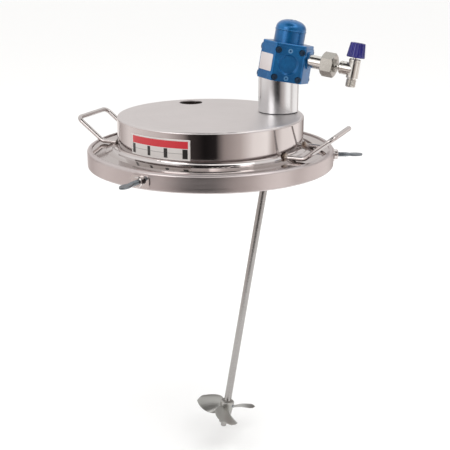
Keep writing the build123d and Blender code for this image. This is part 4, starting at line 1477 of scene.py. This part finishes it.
@dataclass
class NeedleValve:
    """Angle valve body: side boss, waisted barrel and a male threaded foot.

    Heights run up the valve's own axis, and the boss's run out along the inlet.
    """

    barrel_r: float = 7.4
    top: float = 13.0
    skirt: float = -11.0
    foot: float = -22.0
    chamfer: float = 0.7
    groove: Point = (-4.4, -3.1)
    groove_depth: float = 0.4
    thread_r: float = 6.58
    thread_depth: float = 0.75
    pitch: float = 1.337
    lead_in: float = 0.5
    thread_start: float = 0.7
    undercut: float = 1.0
    run_out: Point = (-1.6, -1.4)
    bore_r: float = 4.4
    bore_top: float = -4.0
    gland_r: float = 5.6
    gland_depth: float = 2.0
    boss_r: float = 8.2
    boss_root: float = 1.0
    boss_groove: Point = (-5.2, -3.8)
    boss_groove_depth: float = 0.5
    boss_edge: float = 0.9
    port_r: float = 3.7
    port_depth: float = 1.0
    reach: float = 17.5

    def frame(self, layout: Layout) -> Matrix:
        """The valve's frame: Z up its own axis and X away from the drive.

        Args:
            layout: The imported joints.

        Returns:
            The frame, at the knob's joint.
        """
        up = layout.axis("knob_turn")
        out = layout.place("knob_turn") - layout.place("agitator_spin")
        out = (out - up * out.dot(up)).normalized()
        return layout.frame("knob_turn", out, up)

    def barrel(self) -> Object:
        """Turn the barrel and its threaded foot, with the bore left open.

        Returns:
            The barrel, about the Z axis.
        """
        waist_r = self.thread_r - self.undercut
        seat = self.top - self.gland_depth
        outline = [(self.bore_r, self.foot), (waist_r, self.foot)]
        outline += [(self.thread_r - self.thread_depth, self.foot + self.lead_in)]
        first, last = self.foot + self.thread_start, self.skirt + self.run_out[0]
        outline += thread_points(self.thread_r, self.thread_depth, first, last, self.pitch)
        outline += [(waist_r, self.skirt + self.run_out[1]), (waist_r, self.skirt)]
        outline += [(self.barrel_r - self.chamfer, self.skirt), (self.barrel_r, self.skirt + self.chamfer)]
        start, end = (self.top + drop for drop in self.groove)
        outline += groove_points(self.barrel_r, self.groove_depth, start, end)
        outline += [(self.barrel_r, self.top - self.chamfer), (self.barrel_r - self.chamfer, self.top)]
        outline += [(self.gland_r, self.top), (self.gland_r, seat), (0.0, seat)]
        outline += [(0.0, self.bore_top), (self.bore_r, self.bore_top), (self.bore_r, self.foot)]
        return lathe(outline)

    def boss(self) -> Object:
        """Turn the side boss towards the union, with a groove and a port.

        Returns:
            The boss, turned to point at the union.
        """
        port = self.reach - self.port_depth
        start, end = (self.reach + drop for drop in self.boss_groove)
        outline = [(0.0, self.boss_root), (self.boss_r, self.boss_root)]
        outline += groove_points(self.boss_r, self.boss_groove_depth, start, end)
        outline += [(self.boss_r, self.reach - self.boss_edge), (self.boss_r - self.boss_edge, self.reach)]
        outline += [(self.port_r, self.reach), (self.port_r, port), (0.0, port)]
        boss = lathe(outline, segments=72)
        boss.matrix_world = Matrix.Rotation(-pi / 2, 4, "Y")
        return boss

    def build(self, layout: Layout, finish: Material) -> None:
        """Model the valve's body in place.

        Args:
            layout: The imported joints.
            finish: The bright nickel plating.
        """
        barrel, boss = self.barrel(), self.boss()
        apply_place(boss)
        piece = settle(join(barrel, boss), "threaded_valve_body", self.frame(layout))
        dress(piece, "lid", finish, ("valve_body",))


@dataclass
class FlutedKnob:
    """Moulded knob with a plain skirt, twelve flutes and a dished top."""

    base: float = 15.0
    base_r: float = 11.5
    base_edge: float = 0.5
    top_r: float = 9.6
    height: float = 18.0
    skirt: float = 1.8
    rounding: float = 1.2
    hollow_r: float = 8.6
    hollow: float = 2.4
    hollow_draft: float = 0.3
    dish_r: float = 6.6
    dish: float = 0.5
    # Where rings of points lie up the tapered side, as shares of its height.
    rings: tuple[float, ...] = (0.08, 0.35, 0.65, 1.0)
    # What the flutes leave alone above the skirt, under the top and round the dish.
    spared: tuple[float, ...] = (0.5, 0.1, 0.5)
    flutes: int = 12
    steps: int = 12
    # How far each spoke of a flute is pressed in: its radius is times the first value.
    levels: tuple[tuple[float, tuple[int, ...]], ...] = (
        (0.98, (3, 9)),
        (0.94, (4, 8)),
        (0.91, (5, 7)),
        (0.9, (6,)),
    )

    def outline(self) -> list[Point]:
        """The knob's section, from its hollow underside to its dished top.

        Returns:
            The section's points, from axis to axis.
        """
        top = self.base + self.height
        foot = self.base + self.skirt
        floor = top - self.dish
        rise = top - self.rounding - foot
        points = [(0.0, self.base + self.hollow), (self.hollow_r, self.base + self.hollow)]
        points += [(self.hollow_r + self.hollow_draft, self.base), (self.base_r - self.base_edge, self.base)]
        points += [(self.base_r, self.base + self.base_edge), (self.base_r, foot)]
        taper = self.top_r - self.base_r
        points += [(self.base_r + taper * share, foot + rise * share) for share in self.rings]
        centre = (self.top_r - self.rounding, top - self.rounding)
        points += arc_points(centre, self.rounding, start=15, end=90, steps=5)
        return points + [(self.dish_r, top), (self.dish_r - self.dish, floor), (0.0, floor)]

    def build(self, place: Matrix, finish: Material) -> None:
        """Turn the knob and press its flutes in.

        Args:
            place: The valve's frame.
            finish: The moulded nylon.
        """
        segments = self.flutes * self.steps
        knob = lathe(self.outline(), segments)
        low = self.base + self.skirt + self.spared[0]
        high = self.base + self.height - self.spared[1]
        rim_r = self.dish_r + self.spared[2]
        for shrink, spokes in self.levels:
            select_points(
                knob,
                lambda point: spoke_of(point, segments) % self.steps in spokes
                and low < point.z < high
                and point.xy.length > rim_r,
            )
            bpy.ops.transform.resize(value=(shrink, shrink, 1), center_override=ORIGIN)
            bpy.ops.object.mode_set(mode="OBJECT")
        settle(knob, "fluted_valve_knob", place, smooth=38)
        dress(knob, "knob", finish, ("valve_knob",))


# --- Stage -------------------------------------------------------------------


@dataclass(frozen=True)
class Softbox:
    """A square area light that points at the lid, with sizes in metres and power in watts."""

    name: str
    place: tuple[float, float, float]
    size: float
    power: float


@dataclass
class Studio:
    """Floor, light and camera.

    The floor, the cards and the ceiling are in metres, the camera is in mm, and angles
    are in degrees. The tones of the ring of cards go by the angle from the lens's side.
    """

    azimuth: float = -12.0
    floor_drop: float = 0.02
    floor_size: float = 60.0
    paper: str = "#FAFAFA"
    paper_roughness: float = 0.9
    card_r: float = 0.9
    card_heights: Point = (-0.42, 0.14)
    card_glow: float = 1.45
    card_tones: Tones = (
        (-180.0, "#3E3836"),
        (-168.0, "#8A817E"),
        (-154.0, "#E6E1DE"),
        (-134.0, "#A59C99"),
        (-110.0, "#DAD4D1"),
        (-50.0, "#C4BCB9"),
        (-30.0, "#8A817E"),
        (-23.0, "#3A3534"),
        (-6.0, "#171515"),
        (7.0, "#232020"),
        (16.0, "#8F8683"),
        (34.0, "#B4ABA7"),
        (50.0, "#EAE5E2"),
        (68.0, "#F2EEEB"),
        (78.0, "#A89F9B"),
        (92.0, "#E6E1DE"),
        (126.0, "#E9E4E1"),
        (150.0, "#877D7A"),
        (168.0, "#4E4745"),
        (180.0, "#3E3836"),
    )
    ceiling_height: float = 1.3
    ceiling_forward: float = 0.5
    ceiling_r: float = 0.62
    ceiling_tone: str = "#2A2726"
    # The room's tones go round by share of a turn, and give way to a pale top.
    sky_strength: float = 1.16
    sky_top: str = "#F7F7F6"
    sky_blend: Point = (0.3, 0.52)
    sky_tones: Tones = (
        (0.00, "#E4E1DF"),
        (0.13, "#EFEDEC"),
        (0.17, "#3A3635"),
        (0.25, "#2A2626"),
        (0.29, "#9A9593"),
        (0.40, "#C7C2C0"),
        (0.46, "#F5F3F2"),
        (0.54, "#8E8A89"),
        (0.62, "#E0DDDC"),
        (1.00, "#E4E1DF"),
    )
    softboxes: tuple[Softbox, ...] = (
        Softbox("overhead_softbox", (0.3, -0.9, 2.2), 2.2, 26.0),
        Softbox("left_softbox", (-1.9, -1.4, 0.9), 1.2, 9.0),
    )
    lens_mm: float = 72.0
    sensor_mm: float = 36.0
    pitch: float = 17.5
    side: float = 18.8
    distance: float = 1154.0
    height: float = 261.6

    def build(self, lowest: float) -> None:
        """Make the floor, the lights and the camera.

        Args:
            lowest: The object's lowest height in metres.
        """
        self.floor(lowest - self.floor_drop)
        self.cards()
        self.ceiling()
        self.sky()
        self.lamps()
        self.camera()

    def floor(self, level: float) -> None:
        """Lay a pale matte floor below the propeller.

        Args:
            level: The floor's height in metres.
        """
        deselect()
        bpy.ops.mesh.primitive_plane_add(size=self.floor_size, location=(0, 0, level))
        plane = bpy.context.object
        plane.name = "studio_floor"
        material, tree = start_material("pale matte paper")
        shader = tree.nodes[SHADER]
        shader.inputs["Base Color"].default_value = to_linear(self.paper)
        shader.inputs["Roughness"].default_value = self.paper_roughness
        plane.data.materials.append(material)
        plane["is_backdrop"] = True

    def cards(self) -> None:
        """Stand a ring of printed cards below the lens, which only reflections see."""
        low, high = self.card_heights
        deselect()
        bpy.ops.mesh.primitive_cylinder_add(
            vertices=96,
            radius=self.card_r,
            depth=high - low,
            end_fill_type="NOTHING",
            location=(0, 0, (low + high) / 2),
        )
        card = bpy.context.object
        card.name = "reflection_cards"
        card.rotation_euler = (0, 0, radians(self.azimuth))
        material, tree = start_material("card ring")
        coords = add_node(tree, "ShaderNodeTexCoord")
        split = add_node(tree, "ShaderNodeSeparateXYZ", {0: coords.outputs["Object"]})
        back = add_node(tree, "ShaderNodeMath", {0: split.outputs["Y"]}, {1: -1.0}, operation="MULTIPLY")
        tones = tuple((0.5 + turn / 360, colour) for turn, colour in self.card_tones)
        around = self.tones_around(tree, split.outputs["X"], back.outputs["Value"], tones)
        self.light_card(card, material, {"Color": around}, {"Strength": self.card_glow})

    def ceiling(self) -> None:
        """Hang a dark card overhead, which draws a thin line along every polished round edge."""
        turn = Matrix.Rotation(radians(self.azimuth), 4, "Z")
        place = turn @ Vector((0, -self.ceiling_forward, self.ceiling_height))
        deselect()
        bpy.ops.mesh.primitive_circle_add(
            vertices=64, radius=self.ceiling_r, fill_type="NGON", location=tuple(place)
        )
        card = bpy.context.object
        card.name = "overhead_dark_card"
        material, _ = start_material("dark overhead card")
        self.light_card(card, material, {}, {"Color": to_linear(self.ceiling_tone), "Strength": 1.0})

    @staticmethod
    def tones_around(tree: Tree, rise: Socket, run: Socket, tones: Tones) -> Socket:
        """Colours that go round with an angle.

        Args:
            tree: The node tree.
            rise: The angle's opposite side.
            run: The angle's adjacent side.
            tones: Shares of a turn, from the back, and their colours.

        Returns:
            A colour output.
        """
        angle = add_node(tree, "ShaderNodeMath", {0: rise, 1: run}, operation="ARCTAN2")
        turn = {"From Min": -pi, "From Max": pi}
        share = add_node(tree, "ShaderNodeMapRange", {"Value": angle.outputs["Value"]}, turn)
        around = add_node(tree, "ShaderNodeValToRGB", {"Fac": share.outputs["Result"]})
        ramp_stops(around, tones)
        return around.outputs["Color"]

    @staticmethod
    def light_card(
        card: Object, material: Material, links: dict[str, Socket], values: dict[str, object]
    ) -> None:
        """Make a card glow, and let only reflections see it.

        Args:
            card: The card.
            material: The card's material.
            links: Outputs that the glow takes its colour from.
            values: The glow's fixed values.
        """
        tree = material.node_tree
        glow = add_node(tree, "ShaderNodeEmission", links, values)
        tree.links.new(glow.outputs["Emission"], tree.nodes["Material Output"].inputs["Surface"])
        card.data.materials.append(material)
        for ray in ("camera", "diffuse", "shadow", "transmission", "volume_scatter"):
            setattr(card, f"visible_{ray}", False)
        card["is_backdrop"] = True

    def sky(self) -> None:
        """Surround the stage with soft light: pale above, and a dark flag for the metal to show."""
        world = bpy.data.worlds.new("studio")
        bpy.context.scene.world = world
        world.use_nodes = True
        tree = world.node_tree
        coords = add_node(tree, "ShaderNodeTexCoord")
        split = add_node(tree, "ShaderNodeSeparateXYZ", {0: coords.outputs["Generated"]})
        around = self.tones_around(tree, split.outputs["Y"], split.outputs["X"], self.sky_tones)
        blend = {"From Min": self.sky_blend[0], "From Max": self.sky_blend[1]}
        up = add_node(tree, "ShaderNodeMapRange", {"Value": split.outputs["Z"]}, blend)
        layers = {SHARE: up.outputs["Result"], BELOW: around}
        top = {ABOVE: to_linear(self.sky_top)}
        mixed = add_node(tree, "ShaderNodeMix", layers, top, data_type="RGBA")
        ground = tree.nodes["Background"]
        tree.links.new(mixed.outputs[MIXED], ground.inputs["Color"])
        ground.inputs["Strength"].default_value = self.sky_strength

    def lamps(self) -> None:
        """Hang the softboxes: a large one overhead and a weaker one from the left."""
        for softbox in self.softboxes:
            data = bpy.data.lights.new(softbox.name, "AREA")
            data.size = softbox.size
            data.energy = softbox.power
            lamp = bpy.data.objects.new(softbox.name, data)
            lamp.location = softbox.place
            lamp.rotation_euler = (-Vector(softbox.place)).to_track_quat("-Z", "Y").to_euler()
            bpy.context.scene.collection.objects.link(lamp)

    def camera(self) -> None:
        """Set up the camera in front of the lid, looking down on it a little."""
        data = bpy.data.cameras.new("camera")
        data.lens = self.lens_mm
        data.sensor_width = self.sensor_mm
        camera = bpy.data.objects.new("camera", data)
        turn = Matrix.Rotation(radians(self.azimuth), 4, "Z")
        place = Vector((self.side, -self.distance, self.height)) * MM
        tilt = Matrix.Rotation(radians(90 - self.pitch), 4, "X")
        camera.matrix_world = turn @ Matrix.Translation(place) @ tilt
        bpy.context.scene.collection.objects.link(camera)
        bpy.context.scene.camera = camera
        bpy.context.scene.view_settings.view_transform = "Standard"


# --- Main --------------------------------------------------------------------


def plan_finishes(layout: Layout) -> dict[MetalFinish | CoatFinish, tuple[str, ...]]:
    """Say which CAD nodes get which finish.

    Args:
        layout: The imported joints.

    Returns:
        The nodes' names by finish.
    """
    axis = tuple(layout.axis("agitator_spin"))
    shaft_bar = replace(GROUND_BAR, axis=axis, centre=tuple(layout.place("agitator_spin")))
    numbers = (1, 2, 3)
    pistons = tuple(f"piston_{i}" for i in numbers)
    caps = tuple(f"cylinder_cap_{i}" for i in numbers)
    return {
        PRESSED_LID: ("lid_pan",),
        SATIN_RING: ("rim_ring",),
        WELDED_ROD: ("lifting_handle_1", "lifting_handle_2"),
        BUFFED_SADDLE: tuple(f"clamp_saddle_{i}" for i in numbers),
        TURNED_ALUMINIUM: ("adapter_tube", *pistons),
        MOTOR_BLUE: ("motor_housing", "motor_top_cover", *caps, "muffler_body"),
        # The plugs' lighter blue is a painted highlight.
        PLUG_HIGHLIGHT_BLUE: ("cylinder_cap_plugs",),
        DRAWN_NICKEL: ("union_nut",),
        BRIGHT_NICKEL: ("inlet_nipple", "union_tail", "valve_gland", "valve_needle"),
        shaft_bar: ("agitator_shaft", "crankshaft", "shaft_coupling", "lower_bearing", "upper_bearing"),
        TUMBLED_CASTING: ("propeller", "propeller_nut", "propeller_washer"),
        BARREL_ZINC: tuple(f"clamp_pad_{i}" for i in numbers),
        OILED_SCREW: (
            "adapter_screws",
            "motor_screws",
            "top_cover_screws",
            "coupling_set_screws",
            "hub_set_screw",
        ),
        # The cap screws' lighter blue is a painted highlight.
        HIGHLIGHTED_SCREW: ("cylinder_cap_screws",),
        SINTERED_BRONZE: ("shaft_bush",),
        MOULDED_NYLON: ("valve_knob",),
        NITRILE_RUBBER: ("rim_gasket", "adapter_gasket", "shaft_seal"),
        WHITE_FELT: ("muffler_felt",),
    }


def paint(nodes: dict[str, Object], names: Iterable[str], material: Material) -> None:
    """Give CAD nodes a finish.

    Args:
        nodes: The frame's nodes.
        names: The nodes to paint.
        material: Their new finish.
    """
    for name in names:
        mesh = nodes[name].data
        mesh.materials.clear()
        mesh.materials.append(material)
        log.info("painted %s with %s", name, material.name)


def main() -> None:
    """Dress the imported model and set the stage."""
    logging.basicConfig(level=logging.INFO)
    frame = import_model()
    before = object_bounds()
    layout = Layout(frame["joints"])
    drive = layout.drive()
    plate = RatingPlate()
    valve = NeedleValve()
    plan = plan_finishes(layout)
    made = {finish: finish.build() for finish in (*plan, LABEL_FOIL, plate.finish())}
    for finish, names in plan.items():
        paint(frame["nodes"], names, made[finish])
    plate.build(made[plate.finish()])
    ClampScrews().build(layout, made[BARREL_ZINC])
    MufflerCap().build(drive, made[MOTOR_BLUE])
    WeldBeads().build(made[WELDED_ROD])
    MotorLabel().build(drive, made[LABEL_FOIL])
    valve.build(layout, made[BRIGHT_NICKEL])
    FlutedKnob().build(valve.frame(layout), made[MOULDED_NYLON])
    Studio().build(before[0][2])


if __name__ == "__main__":
    main()
